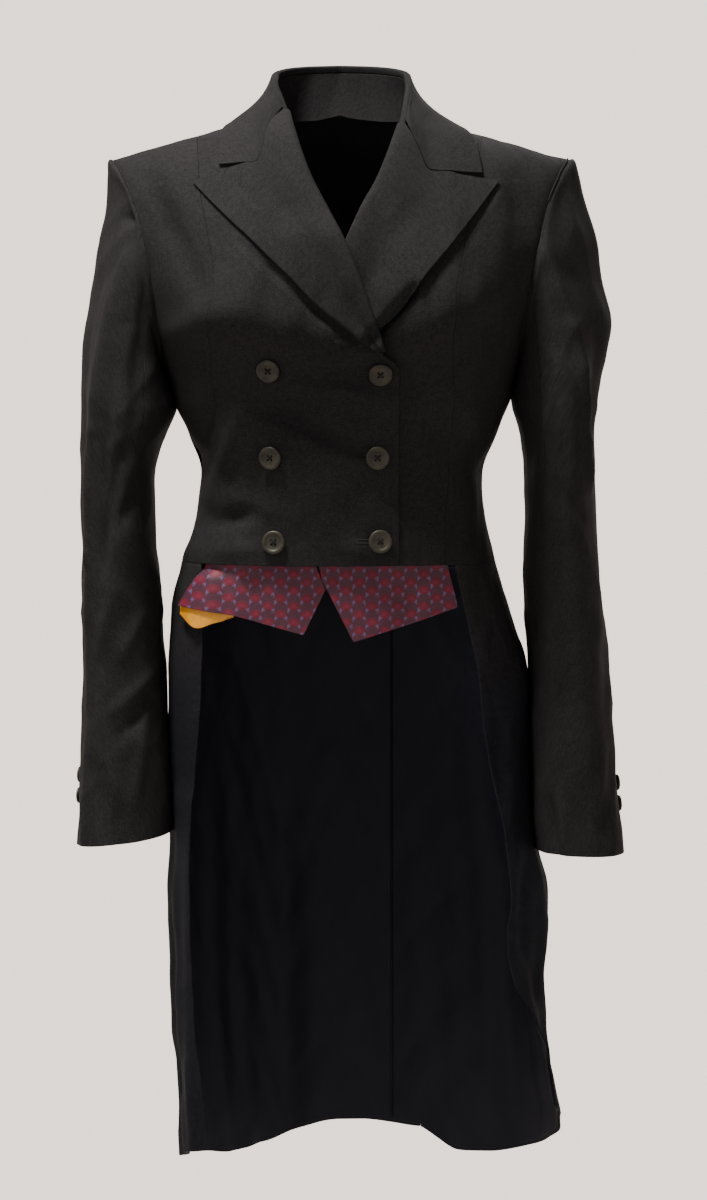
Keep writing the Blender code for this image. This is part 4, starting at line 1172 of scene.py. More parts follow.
# %% Cutting the bodice
cloth("front_left", front_panel(UNDER_FRONT_EDGE, "left"), lining=LINING)
cloth("front_right", front_panel(TOP_FRONT_EDGE, "right", top_front_lift), lining=LINING)
for side_name in SIDES:
    h = BODICE_ROWS
    half_turn = 0.0 if side_name == "left" else 180.0
    armhole = seam_place(ARMHOLE_FRONT, side_name, h)
    outer = np.where(h > UNDERARM, armhole, -half_turn)
    grid = panel(seam_place(PRINCESS, side_name, h), outer, h, 26)
    cloth("side_front_" + side_name, grid, lining=LINING)
    armhole = seam_place(ARMHOLE_BACK, side_name, h, 1)
    inner = np.where(h > UNDERARM, armhole, half_turn)
    cloth("side_back_" + side_name, panel(inner, back_seam_angle(side_name, h), h, 30), lining=LINING)

# %% [markdown]
# ## The tails
# The centre back is cut in one from the neck to the hem, and below the waist it is open in a vent: the
# left back's edge lies over a lap of the right back. The sides of the tails hang from the waist seam.
# Their hems rise and fall as they swing, so the rise is a small table too. The lining repeats the same
# points a little inside them.

# %% Front edges and hems of the tails
TAIL_EDGE_RIGHT = [
    Edge(-396, 119),
    Edge(-460, 118),
    Edge(-522, 120),
    Edge(-594, 126),
    Edge(-680, 128),
    Edge(-790, 126),
    Edge(-849, 121),
    Edge(-915, 116),
]
TAIL_EDGE_LEFT = [
    Edge(-396, 99),
    Edge(-444, 110),
    Edge(-496, 120),
    Edge(-543, 125),
    Edge(-602, 136),
    Edge(-691, 147),
    Edge(-722, 144),
    Edge(-763, 151),
    Edge(-809, 172),
    Edge(-845, 184),
    Edge(-875, 189),
]
Rise = namedtuple("Rise", "t right left")
HEM_RISES = [
    Rise(0.00, 10, 40),
    Rise(0.12, 6, 27),
    Rise(0.30, -4, 2),
    Rise(0.50, -16, -16),
    Rise(0.70, -22, -27),
    Rise(0.85, -27, -29),
    Rise(1.00, -24, -10),
]
HEM_MIDDLE_RISE = -3.5
print("the hem rises and falls by, mm:", max(r.left for r in HEM_RISES) - min(r.left for r in HEM_RISES))

# %% [markdown]
# The next functions turn those tables into grids. The hem's rise grows quickly towards the hem, so the
# rows stay level above it. Each tail can be drawn again a little further in, which gives the lining.

# %% Shapes of the tails
NECK_BACK_DROP = 12.0
VENT_TOP = -440.0
VENT_LAP = 48.0
VENT_DROP = 4.2
VENT_FULL = -424.0
LINING_GAP = 0.6
RISE = columns(HEM_RISES, "t")
TAIL_ROWS = np.concatenate((steps(HEM_Z, VENT_TOP, SPACING), steps(VENT_TOP, WAIST_Z, SPACING)[1:]))


def hem_share(h):
    """How much of the hem's rise a row has."""
    return np.clip((WAIST_Z - h) / (WAIST_Z - HEM_Z), 0.0, 1.0) ** 5


def vent_drop(side_name, x, h):
    """The right back's under layer lies inside the left back's edge."""
    if side_name == "left":
        return 0.0
    return -VENT_DROP * ease((x + 58) / 50) * ease((WAIST_Z - h) / (WAIST_Z - VENT_FULL))


def back_grid(side_name, rows, inwards=0.0, count=30):
    """The centre back from the middle to the back seam, with the vent's lap on the right one."""
    seam = back_seam_angle(side_name, rows)[:, None]
    h = rows[:, None]
    middle = np.full_like(seam, 90.0)
    if side_name == "right":
        lap = place(VENT_LAP, h, 1)[0]
        turn_over = middle + (lap - middle) * ease((VENT_FULL - h) / (VENT_FULL - VENT_TOP))
        middle = np.where(h <= VENT_TOP, lap, turn_over)
    angle = middle + (seam - middle) * np.linspace(0, 1, count)
    h = np.broadcast_to(h, angle.shape)
    x = bare_body(angle, h)[..., 0]
    drop = NECK_BACK_DROP * np.maximum(0.0, 1 - (x / NECK_HALF) ** 2) * ease((h + 60) / 60)
    outer = np.maximum(0.0, (angle - 90) / (seam - 90))
    rise = HEM_MIDDLE_RISE + (RISE[side_name](1.0) - HEM_MIDDLE_RISE) * ease(outer)
    return body(angle, h - drop + rise * hem_share(h), vent_drop(side_name, x, h) - inwards)


def skirt_grid(side_name, rows, inwards=0.0, count=84):
    """The side of a tail from its front edge round to the back seam."""
    if side_name == "left":
        edge = place(columns(TAIL_EDGE_LEFT, "z")["x"](rows), rows)[0]
    else:
        edge = 360 + place(-columns(TAIL_EDGE_RIGHT, "z")["x"](rows), rows)[0]
    t = np.linspace(0, 1, count)
    angle = edge[:, None] + (back_seam_angle(side_name, rows) - edge)[:, None] * t
    h = np.broadcast_to(rows[:, None], angle.shape)
    return body(angle, h + RISE[side_name](t) * hem_share(h), -inwards)


print("rows of a tail:", len(TAIL_ROWS))

# %% [markdown]
# The top row of each side is a seam allowance: it turns in and up behind the bodice, so no light shows
# through the waist seam. The lining starts a little above the hem and a little inside the front edge, as
# it is sewn.

# %% Cutting the tails and their lining
ALLOWANCE_UP, ALLOWANCE_IN, WAIST_GAP = 2.0, CLOTH + 0.4, 0.6
for side_name in SIDES:
    rows = np.concatenate((TAIL_ROWS, BODICE_ROWS[1:]))
    cloth("back_" + side_name, back_grid(side_name, rows), finish=TAIL_WOOL_WITH_PAINTED_SHADE, lining=LINING)
    rows = np.append(TAIL_ROWS[:-1], WAIST_Z - WAIST_GAP)
    seam_allowance = skirt_grid(side_name, np.array([WAIST_Z + ALLOWANCE_UP]), ALLOWANCE_IN)
    grid = np.concatenate((skirt_grid(side_name, rows), seam_allowance))
    cloth("skirt_" + side_name, grid, finish=TAIL_WOOL_WITH_PAINTED_SHADE, lining=LINING)
    inwards = CLOTH + LINING_GAP
    rows = TAIL_ROWS[TAIL_ROWS < WAIST_Z - 7].copy()
    rows[0] += 3
    rows[1] += 2
    skirt = skirt_grid(side_name, rows, inwards)
    back = back_grid(side_name, rows, inwards)
    skirt[:, 0] = skirt[:, 0] * 0.2 + skirt[:, 1] * 0.8
    back[:, 0] = back[:, 0] * 0.6 + back[:, 1] * 0.4
    grid = np.concatenate((skirt, back[:, -2::-1]), axis=1)
    cloth("tail_lining_" + side_name, grid, finish=LINING, wall=THIN)

# %% [markdown]
# ## Lapels
# A lapel is the front's own facing, turned out and rolled back. It has to curl tightly at the button,
# roll softly at the neck, and come to rest on the chest with its edge a few millimetres off the cloth.
# The flat shape is a patch stretched between four edges, and each row of points starts with the curl.

# %% Lapel outlines
Corner = namedtuple("Corner", "x z")
TOP_LAPEL_TOP = [Corner(-47, -8), Corner(-63, -22), Corner(-74, -49), Corner(-96, -57), Corner(-124, -68)]
TOP_LAPEL_OUTER = [
    Corner(37.5, -213), Corner(13, -197), Corner(-30, -163), Corner(-77, -116), Corner(-124, -68),
]
UNDER_LAPEL_TOP = [Corner(55, -19), Corner(69, -39), Corner(81, -55), Corner(104, -62), Corner(135, -67)]
UNDER_LAPEL_OUTER = [
    Corner(-22, -206), Corner(8, -204), Corner(34, -192), Corner(84, -134), Corner(135, -67),
]
ROLL_BOTTOM, ROLL_TOP = 1.3, 2.8
LEAF_GAP = 1.0
TOP_LIFT_OFF, UNDER_LIFT_OFF = 3.4, 7.5  # how far each lapel's edge stands off the chest
print("the peaks point to, mm:", tuple(TOP_LAPEL_TOP[-1]), "and", tuple(UNDER_LAPEL_TOP[-1]))

# %% [markdown]
# Points spread evenly along a smooth curve are needed again and again, so that comes first. The lapel's
# grid then has two parts in each row: eight points round the curl, and the leaf that lies on the chest.

# %% Shape of a lapel
def along(points, t):
    """Places at shares t of the length of a smooth curve through points."""
    points = np.array([tuple(p) for p in points], float)
    reach = np.append(0, np.cumsum(np.linalg.norm(np.diff(points, axis=0), axis=1)))
    at = np.asarray(t, float) * reach[-1]
    return np.stack([Curve(reach, points[:, k])(at) for k in range(points.shape[1])], -1)


def lapel_grid(roll, outer, top, lift, sign, lift_off):
    """Rows from the button to the collar, each from the curl's inner face out to the edge."""
    v = np.linspace(0, 1, 72)
    u = np.linspace(0, 1, 46)
    bottom = [roll[0], outer[0]]
    line = along(roll, v)
    here = front(line[:, 0], line[:, 1], lift(line[:, 0], line[:, 1]))
    outwards = unit(front(line[:, 0], line[:, 1], lift(line[:, 0], line[:, 1]) + 1) - here)
    towards = unit(np.cross(np.gradient(here, axis=0), outwards))
    towards = np.where((towards[:, :1] * sign) > 0, -towards, towards)
    radius = (ROLL_BOTTOM + (ROLL_TOP - ROLL_BOTTOM) * v)[:, None]
    centre = here + towards * 1.3 + outwards * radius
    curl = []
    for a in np.radians(np.linspace(-90, 90, 9)[:-1]):
        curl.append(centre + (towards * math.cos(a) + outwards * math.sin(a)) * (radius + CLOTH))
    uu, vv = np.meshgrid(u, v)
    uu, vv = uu[..., None], vv[..., None]
    low, high = along(bottom, u)[None], along(top, u)[None]
    left, right = along(roll, v)[:, None], along(outer, v)[:, None]
    low_ends = (low[:, :1] * (1 - uu) + low[:, -1:] * uu) * (1 - vv)
    ends = low_ends + (high[:, :1] * (1 - uu) + high[:, -1:] * uu) * vv
    flat = low * (1 - vv) + high * vv + left * (1 - uu) + right * uu - ends
    rest = LEAF_GAP + CLOTH
    height = 2 * radius + CLOTH
    stand = rest + (height - rest) * (1 - ease(u / 0.55))[None]
    stand = stand + lift_off * ease((u - 0.35) / 0.65)[None] * (ease(v / 0.12) * (1 - v) ** 0.7)[:, None]
    x, z = flat[..., 0], flat[..., 1]
    leaf = front(x, z, lift(x, z) + stand)
    return np.concatenate((np.stack(curl, 1), leaf), axis=1)


def no_lift(x, z):
    """For the under lapel, which lies straight on its own front."""
    return np.zeros(np.broadcast(x, z).shape)


def lift_at(x, z):
    """For all that lies on the top front."""
    return top_front_lift(*place(x, z))


print("the curl's radius at the button and at the neck, mm:", ROLL_BOTTOM, ROLL_TOP)

# %% [markdown]
# Each lapel starts exactly at the edge of its own front, so that edge's table is used again for the roll
# line.

# %% Cutting the lapels
top_roll = [Corner(e.x, e.z) for e in TOP_FRONT_EDGE if e.z >= -209]
under_roll = [Corner(e.x, e.z) for e in UNDER_FRONT_EDGE if -200 <= e.z <= -21]
grid = lapel_grid(top_roll, TOP_LAPEL_OUTER, TOP_LAPEL_TOP, lift_at, -1, TOP_LIFT_OFF)
cloth("lapel_right", grid, gap=-CLOTH / 2)
grid = lapel_grid(under_roll, UNDER_LAPEL_OUTER, UNDER_LAPEL_TOP, no_lift, 1, UNDER_LIFT_OFF)
cloth("lapel_left", grid, gap=-CLOTH / 2)

# %% [markdown]
# ## The collar
# A tailored collar has two parts: a stand that rises from the neckline, and a leaf that folds over it and
# falls on the shoulders. The leaf is drawn as a row of curves from the fold down to its outer edge. Near
# the front the curves turn and lie along the lapel's top edge, where the notch is.

# %% Collar lines
Point = namedtuple("Point", "x y z")
Plan = namedtuple("Plan", "x y")
FOLD_LINE = {
    "right": [
        Point(-48, -31, -6), Point(-55, -17, 10), Point(-60, 1, 23), Point(-60, 21, 31), Point(-49, 44, 37),
        Point(-27, 59, 40), Point(0, 64, 41),
    ],
    "left": [
        Point(55, -46, -18), Point(60, -27, 3), Point(63, -5, 20), Point(62, 19, 31), Point(50, 44, 37),
        Point(27, 59, 40), Point(0, 64, 41),
    ],
}
LEAF_EDGE = {
    "right": [
        Plan(-101, -57), Plan(-101, -30), Plan(-94, 6), Plan(-85, 36), Plan(-67, 58), Plan(-36, 72),
        Plan(0, 77),
    ],
    "left": [
        Plan(121, -58), Plan(114, -30), Plan(101, 6), Plan(89, 36), Plan(69, 58), Plan(37, 72), Plan(0, 77),
    ],
}
COLLAR_END = {
    "right": [
        Corner(-47.3, -6.5), Corner(-60.5, -22.5), Corner(-71.5, -50.8), Corner(-86, -52), Corner(-102, -53),
    ],
    "left": [
        Corner(54.8, -18.5), Corner(66.5, -40), Corner(77, -58), Corner(99, -59.4), Corner(121, -60),
    ],
}
LEAF_OUT = 3.1
print("the collar's fold stands above the shoulders by, mm:", FOLD_LINE["left"][-1].z)

# %% [markdown]
# The leaf must not sink into the shoulders, so `body_top` finds their height under any place in plan.
# Each curve of the leaf leaves the fold almost level and bends down to the edge, as a Bezier curve does.

# %% Shape of the leaf
UPWARDS = np.array((0.0, 0.0, 1.0))


def body_top(x, y, out):
    """The height of the shoulders over places in plan."""
    z = shoulder_z(x)
    for _ in range(8):
        depth = np.where(y < SHOULDER_Y, RING["front"](z), RING["back"](z))
        share = np.minimum(1.0, np.abs(x) / half_width(x, z))
        depth = depth * (1 - share**SECTION_POWER) ** (1 / SECTION_POWER)
        close = np.minimum(1.0, np.abs(y - SHOULDER_Y) / depth)
        q = (1 - close**SHOULDER_POWER) ** (1 / SHOULDER_POWER)
        z = CHEST_LINE + (shoulder_z(x) - CHEST_LINE) * q
    return z + out


def bezier(a, b, c, d, t):
    """Points at t of the Bezier curve from a to d, which leaves towards b and arrives from c."""
    return a * (1 - t) ** 3 + b * 3 * t * (1 - t) ** 2 + c * 3 * t * t * (1 - t) + d * t**3


def leaf_side(side_name, t, v):
    """Points of the leaf: t from its front end to the centre back, v from the fold down."""
    start = along(FOLD_LINE[side_name], t)
    edge = along(LEAF_EDGE[side_name], t)
    stop = np.column_stack((edge, body_top(edge[:, 0], edge[:, 1], LEAF_OUT)))
    away = unit(np.column_stack((start[:, 0], start[:, 1] - 15, np.zeros(len(t)))))
    inner = stop * 0.48 + start * 0.52
    inner[:, 2] = np.maximum(inner[:, 2] - 1.0, body_top(inner[:, 0], inner[:, 1], LEAF_OUT))
    share = v[None, :, None]
    first = start + away * 5 - UPWARDS * 16
    fall = bezier(start[:, None], first[:, None], inner[:, None], stop[:, None], share)
    flat = along(COLLAR_END[side_name], v)
    turn = front(flat[:, 0], flat[:, 1], LEAF_OUT + 4.6 * (1 - ease(v / 0.72)))[None]
    turn = turn + (start - start[:1])[:, None] * (1 - share) + (stop - stop[:1])[:, None] * share
    mix = ease(t / 0.30)[:, None, None]
    leaf = turn * (1 - mix) + fall * mix
    rest = body_top(leaf[..., 0], leaf[..., 1], LEAF_OUT)
    low = (np.abs(leaf[..., 0]) > NECK_HALF - 8) & (t[:, None] > 0)
    leaf[..., 2] = np.where(low, np.maximum(leaf[..., 2], rest), leaf[..., 2])
    return start, away, leaf


print("the leaf's edge lies off the shoulders by, mm:", LEAF_OUT)

# %% [markdown]
# Both parts are made for one side and then for the other, and joined at the centre back. The leaf starts
# with a round fold. The stand is a plain band between the neckline and the fold.


# %% Shape of the fold and the stand
def both_sides(make):
    """Rows of points right round the collar, from the wearer's right front end to the left one."""
    right, left = make("right"), make("left")
    return np.concatenate((right, left[-2::-1]))


def collar_rows(side_name):
    """The fold and the leaf, on one side."""
    t, v = np.linspace(0, 1, 60), np.linspace(0, 1, 34)
    start, away, leaf = leaf_side(side_name, t, v)
    reach = ROLL_TOP - 1.0 + CLOTH
    middle = start - away * reach - UPWARDS * 1.5
    fold = [start - away * (2 * reach - CLOTH) - UPWARDS * 4]
    for a in np.radians(np.linspace(25, 160, 7)):
        fold.append(middle - away * math.cos(a) * reach + UPWARDS * math.sin(a) * reach)
    return np.concatenate((np.stack(fold, 1), leaf), axis=1)


def stand_rows(side_name):
    """The stand from the neckline up to the fold, on one side."""
    t = np.linspace(0.19, 1, 48)
    start = along(FOLD_LINE[side_name], t)
    away = unit(np.column_stack((start[:, 0], start[:, 1] - 15, np.zeros(len(t)))))
    top = start - away * (2 * (ROLL_TOP - 1.0) + CLOTH) - UPWARDS * 5.0
    side = sign_of(side_name)
    x = side * np.minimum(NECK_HALF + 1, np.abs(start[:, 0]) + 6)
    h = -NECK_BACK_DROP * np.maximum(0.0, 1 - (x / NECK_HALF) ** 2)
    behind = body(place(x, shoulder_z(x), 1)[0], h)
    before = top + np.array((side * 3.0, 0.0, -12.0))
    share = ease((start[:, 1] - SHOULDER_Y + 8) / 16)[:, None]
    base = before * (1 - share) + behind * share - UPWARDS * 1.5
    v = np.linspace(0, 1, 14)[None, :, None]
    bow = 4 * v * (1 - v)
    return base[:, None] * (1 - v) + top[:, None] * v + away[:, None] * bow


fold = along(FOLD_LINE["left"], np.linspace(0, 1, 50))
print("half the fold's length, mm:", round(float(np.linalg.norm(np.diff(fold, axis=0), axis=1).sum())))

# %% [markdown]
# The stand looks into the neck, which is why its outer face is turned inwards.

# %% Cutting the collar
cloth("collar_leaf", both_sides(collar_rows), gap=-CLOTH / 2)
cloth("collar_stand", both_sides(stand_rows), facing_in=True)

# %% [markdown]
# ## Sleeves
# A tailored sleeve is cut in two: a top sleeve over the outside of the arm and an under sleeve beside the
# body. Both start on the armhole. Each column of points leaves the armhole straight, rolls over the
# sleeve's head and runs down through rings to the cuff. The folds are drawn in degrees round the arm and
# height.

# %% Rings of the sleeves
SleeveRing = namedtuple("SleeveRing", "z inner outer front back")
SLEEVES = {
    "right": [
        SleeveRing(-262, 150, 226, -66, 68),
        SleeveRing(-324, 163, 227, -64, 62),
        SleeveRing(-391, 160, 226, -61, 57),
        SleeveRing(-441, 156, 226, -59, 53),
        SleeveRing(-495, 153, 225, -60, 46),
        SleeveRing(-548, 149.5, 226, -64, 38),
        SleeveRing(-593, 148, 228, -68, 29),
        SleeveRing(-641, 148, 229, -73, 19),
    ],
    "left": [
        SleeveRing(-262, 155, 228, -66, 68),
        SleeveRing(-324, 163, 223, -64, 62),
        SleeveRing(-391, 162, 226, -61, 57),
        SleeveRing(-441, 163, 232, -59, 53),
        SleeveRing(-495, 166, 237, -60, 46),
        SleeveRing(-548, 167, 240, -64, 38),
        SleeveRing(-593, 168.5, 243, -68, 29),
        SleeveRing(-648, 172, 248, -73, 19),
    ],
}
SLEEVE_POWER = 2.2
CUFF_TURN = 50.0
ARMHOLE_GAP = 1.2
SLEEVE_LEDGE = 3.0
HEAD_PUFF = 1.6  # the seam's turned-in cloth lifts the sleeve's head a little
SLEEVE_TOP = -262.0
Swell = namedtuple("Swell", "z width size")  # where the upper arm fills out, or lies in
SWELLS = {
    "right": [Swell(-98, 42, -7.0), Swell(-160, 34, -2.0)],
    "left": [Swell(-116, 31, 6.5), Swell(-184, 38, 12.5), Swell(-262, 26, -3.5)],
}
FRONT_SLEEVE_SEAM, BACK_SLEEVE_SEAM = -164.0, -138.0
CUFF_LIFT = {"right": 11.0, "left": 3.0}  # how far the cuff's inner side hangs above its outer side
ARMPIT = {"right": (-258.0, 26.0, 7.5), "left": (-244.0, 22.0, 6.0)}  # the cloth that fills out under the arm
ARMPIT_REACH = 52.0  # and how far up it does so
print("cuffs at, mm:", SLEEVES["right"][-1].z, SLEEVES["left"][-1].z)

# %% [markdown]
# An arm that hangs a little bent draws long folds down the front of its sleeve, and short ones cross it
# at the elbow. Each crease is a line on the unrolled sleeve: degrees round the arm, and height.

# %% Creases of the sleeves
Crease = namedtuple("Crease", "turn1 z1 turn2 z2 width depth")  # degrees round the arm from its outer side
CREASES = {
    "right": [
        Crease(-44, -96, -62, -99, 5, -2.4),
        Crease(-64, -130, -52, -280, 7, 2.6),
        Crease(-52, -280, -44, -390, 6, 3.0),
        Crease(-44, -390, -40, -520, 6, 2.6),
        Crease(-30, -150, -24, -400, 9, -2.4),
        Crease(-84, -190, -70, -400, 9, -2.4),
        Crease(-110, -160, -104, -300, 10, -2.6),
        Crease(-100, -300, -74, -392, 8, -2.6),
        Crease(-84, -420, -64, -470, 7, 1.8),
        Crease(-130, -330, -96, -362, 8, -2.4),
        Crease(-120, -440, -88, -478, 7, 1.6),
        Crease(-130, -492, -84, -520, 7, 2.4),
        Crease(-128, -512, -92, -540, 6, -2.4),
        Crease(-120, -520, -104, -600, 7, 1.8),
        Crease(-88, -560, -74, -636, 8, 1.6),
        Crease(-40, -540, -34, -630, 8, 1.4),
        Crease(60, -300, 40, -420, 14, -2.0),
        Crease(110, -420, 70, -440, 10, -2.2),
        Crease(120, -400, 78, -420, 9, 1.8),
        Crease(30, -480, 60, -620, 12, 1.6),
    ],
    "left": [
        Crease(-86, -110, -72, -190, 6, 2.4),
        Crease(-72, -190, -44, -290, 6, 3.2),
        Crease(-44, -290, -40, -330, 6, 2.2),
        Crease(-52, -150, -20, -290, 11, -3.6),
        Crease(-108, -150, -100, -330, 12, -1.6),
        Crease(-92, -330, -60, -352, 7, -1.8),
        Crease(-84, -352, -54, -380, 7, 1.4),
        Crease(-80, -400, -72, -600, 12, 1.4),
        Crease(-104, -380, -98, -560, 10, -1.6),
        Crease(-128, -600, -124, -648, 6, -2.6),
        Crease(-112, -590, -108, -648, 6, 2.0),
        Crease(-62, -600, -58, -648, 7, -1.4),
        Crease(-30, -480, -36, -600, 12, -1.4),
        Crease(60, -300, 40, -420, 14, -2.0),
        Crease(110, -420, 70, -440, 10, -2.2),
        Crease(120, -400, 78, -420, 9, 1.8),
    ],
}
ARM_RADIUS = 44.0
MM_A_DEGREE, ARM_CREASE_SHIFT, ARM_CREASES = 0.77, 200, 1.15
CREASE_GAIN = 1.5  # worn cloth creases this much deeper than the table says
print("creases:", len(CREASES["right"]), "and", len(CREASES["left"]))

# %% [markdown]
# The sleeve's rings are rounded like the body's, and the creases are laid on them through the same
# function as the body's folds, after degrees are turned into millimetres.


# %% The arm's surface
def ring_points(side_name, z, turn):
    """Points of the sleeve, turn degrees round from its outer side towards the back."""
    table = columns(SLEEVES[side_name], "z")
    z, turn = np.broadcast_arrays(z, turn)
    c, s = np.cos(np.radians(turn)), np.sin(np.radians(turn))
    inner, outer = table["inner"](z), table["outer"](z)
    near, far = table["front"](z), table["back"](z)
    x = (inner + outer) / 2 + (outer - inner) / 2 * np.sign(c) * np.abs(c) ** (2 / SLEEVE_POWER)
    y = (near + far) / 2 + (far - near) / 2 * np.sign(s) * np.abs(s) ** (2 / SLEEVE_POWER)
    return np.stack((sign_of(side_name) * x, y, z), -1)


def wrapped_turn(turn):
    """A turn brought between -180 and 180 degrees."""
    return (turn + 540) % 360 - 180


def folds_out_round(table, turn, z):
    """Creases in degrees round the arm, which meet behind it."""
    scale = math.radians(1) * ARM_RADIUS
    flat = [Fold(c.turn1 * scale, c.z1, c.turn2 * scale, c.z2, c.width, c.depth) for c in table]
    return folds_out(flat, wrapped_turn(turn) * scale, z)


print("degrees to a millimetre of the sleeve:", round(1 / (math.radians(1) * ARM_RADIUS), 2))

# %% [markdown]
# Each column of the sleeve starts on the armhole's edge. On top of the shoulder it leaves sideways, and
# under the arm it leaves outwards from the body. Its turn says where round the arm it arrives: 0 is the
# outer side.


# %% Columns round the armhole
def armhole_columns(side_name):
    """The columns' starts round the armhole, the ways out of the body and away from it, and the turns."""
    down = UNDERARM * (np.linspace(0, 1, 61)) ** 1.15
    front_angle = seam_place(ARMHOLE_FRONT, side_name, down, -1)
    back_h = down[-2:0:-1]
    back_angle = seam_place(ARMHOLE_BACK, side_name, back_h, 1)
    angle, h = np.append(front_angle, back_angle), np.append(down, back_h)
    if side_name == "right":
        angle = np.where(h == UNDERARM, -180.0, angle)
    start = body(angle, h)
    count, low = len(h), len(down) - 1
    run = np.roll(start, -1, 0) - np.roll(start, 1, 0)
    outwards = unit(body(angle, h, 1.0) - start)
    away = unit(np.cross(run, outwards)) * -sign_of(side_name)
    reach = np.append(0, np.cumsum(np.linalg.norm(np.roll(start, -1, 0) - start, axis=1)))
    turn = np.where(
        np.arange(count) <= low,
        -180 * reach[:-1] / reach[low],
        180 * (reach[-1] - reach[:-1]) / (reach[-1] - reach[low]),
    )
    return start, outwards, away, turn, h, low


print("columns round an armhole:", len(armhole_columns("left")[3]))

# %% [markdown]
# From the armhole each column crosses a narrow ledge, the pressed seam. A Bezier curve then carries it
# over the sleeve's head to the ring under the arm, and the rings carry it down to the cuff.


# %% The smooth sleeve
def smooth_sleeve(side_name):
    """Columns from the armhole to the cuff, their turns, and how high on the armhole each starts."""
    start, outwards, away, turn, h, low = armhole_columns(side_name)
    high = ((1 + np.cos(np.radians(turn))) / 2)[:, None]
    leave = unit(away * high + outwards * (1 - high))
    begin = start - away * 0.1 + outwards * (ARMHOLE_GAP * (1 - high))
    turned = begin + leave * SLEEVE_LEDGE
    end = ring_points(side_name, SLEEVE_TOP, turn)
    t = np.linspace(0, 1, 56)[:, None, None]
    head = bezier(turned, turned + leave * (3 + 7 * high), end + UPWARDS * (14 + 66 * high), end, t)
    tuck = start - away * 0.1 - outwards * 3.0 * (1 - high)
    ledge = np.stack([tuck] + [begin + leave * SLEEVE_LEDGE * k for k in (0.0, 0.3, 0.7)])
    cuff = SLEEVES[side_name][-1].z
    z = steps(SLEEVE_TOP, cuff, SPACING)[1:, None]
    turns = turn[None] - CUFF_TURN * ease((SLEEVE_TOP - z) / 330)
    share = (SLEEVE_TOP - z) / (SLEEVE_TOP - cuff)
    hem_lift = CUFF_LIFT[side_name] * share**3 * (1 - np.cos(np.radians(turns))) / 2
    arm = ring_points(side_name, z + hem_lift, turns)
    grid = np.concatenate((ledge, head, arm))
    head_turns = np.broadcast_to(turn, (len(ledge) + len(head), len(turn)))
    return grid, np.concatenate((head_turns, turns)), high[:, 0], h, low


print("rows of a smooth sleeve:", len(smooth_sleeve("left")[0]))

# %% [markdown]
# The worn sleeve adds what an arm does to it: the upper arm fills it out, cloth gathers under the armpit,
# the creases and small waves stand up, and the seam's turned-in cloth lifts the head by a millimetre or
# two.


# %% The worn sleeve
def sleeve_grid(side_name):
    """The whole sleeve with its folds, once round, and each column's height on the armhole."""
    grid, turns, high, h, low = smooth_sleeve(side_name)
    out = CREASE_GAIN * folds_out_round(CREASES[side_name], turns, grid[..., 2])
    outer_side = np.maximum(0.0, np.cos(np.radians(turns)))
    settled = ease(np.arange(len(grid)) / 14)[:, None]
    swell = sum(s.size * hump(grid[..., 2] - s.z, s.width) for s in SWELLS[side_name])
    grid[..., 0] += sign_of(side_name) * swell * outer_side * settled
    tuck_z, tuck_width, depth = ARMPIT[side_name]
    towards_body = np.maximum(0.0, -np.cos(np.radians(turns))) ** 1.5
    below = grid[..., 2] - tuck_z
    fill = np.where(below > 0, hump(below, ARMPIT_REACH), hump(below, tuck_width))
    grid[..., 0] -= sign_of(side_name) * depth * fill * towards_body
    around = np.roll(grid, -1, 1) - np.roll(grid, 1, 1)
    normal = unit(np.cross(around, np.gradient(grid, axis=0)))
    centre = grid.mean(axis=1, keepdims=True)
    normal = np.where(((grid - centre) * normal).sum(-1, keepdims=True) < 0, -normal, normal)
    row = np.arange(len(grid))[:, None]
    puff = HEAD_PUFF * ease((row - 1) / 3) * (1 - ease((row - 5) / 9)) * high**0.5
    elsewhere = ARM_CREASE_SHIFT * (side_name == "left")  # so the two sleeves don't crease alike
    wave = crumple(np.abs(wrapped_turn(turns)) * MM_A_DEGREE + elsewhere, grid[..., 2], ARM_CREASES)
    return grid + normal * ((out + wave) * settled + puff)[..., None], h, low


print("small creases of the arm, mm:", ARM_CREASES)

# %% [markdown]
# A two-piece sleeve has its seams where they hardly show: one in front of the arm towards the body and
# one behind it. The grid is parted at the columns that start nearest to those places on the armhole.

# %% Cutting the sleeves
for side_name in SIDES:
    grid, h, low = sleeve_grid(side_name)
    count = len(h)
    front_seam = int(np.argmin(np.abs(h[:low] - FRONT_SLEEVE_SEAM)))
    back_seam = low + int(np.argmin(np.abs(h[low:] - BACK_SLEEVE_SEAM)))
    over = np.arange(back_seam, count + front_seam + 1) % count
    under = np.arange(front_seam, back_seam + 1)
    middle = grid[grid.shape[0] // 2].mean(axis=0)[:2]
    cloth("top_sleeve_" + side_name, grid[:, over], lining=LINING, inside=middle)
    cloth("under_sleeve_" + side_name, grid[:, under], lining=LINING, inside=middle)

# %% [markdown]
# ## Waistcoat points
# Many dressage coats have false waistcoat points: two small flaps of bright silk sewn inside the front's
# hem. They are cut here as patches between an upper and a lower row of corners. The outer corner on the
# wearer's right has flipped out over the tail, and shows its yellow back.

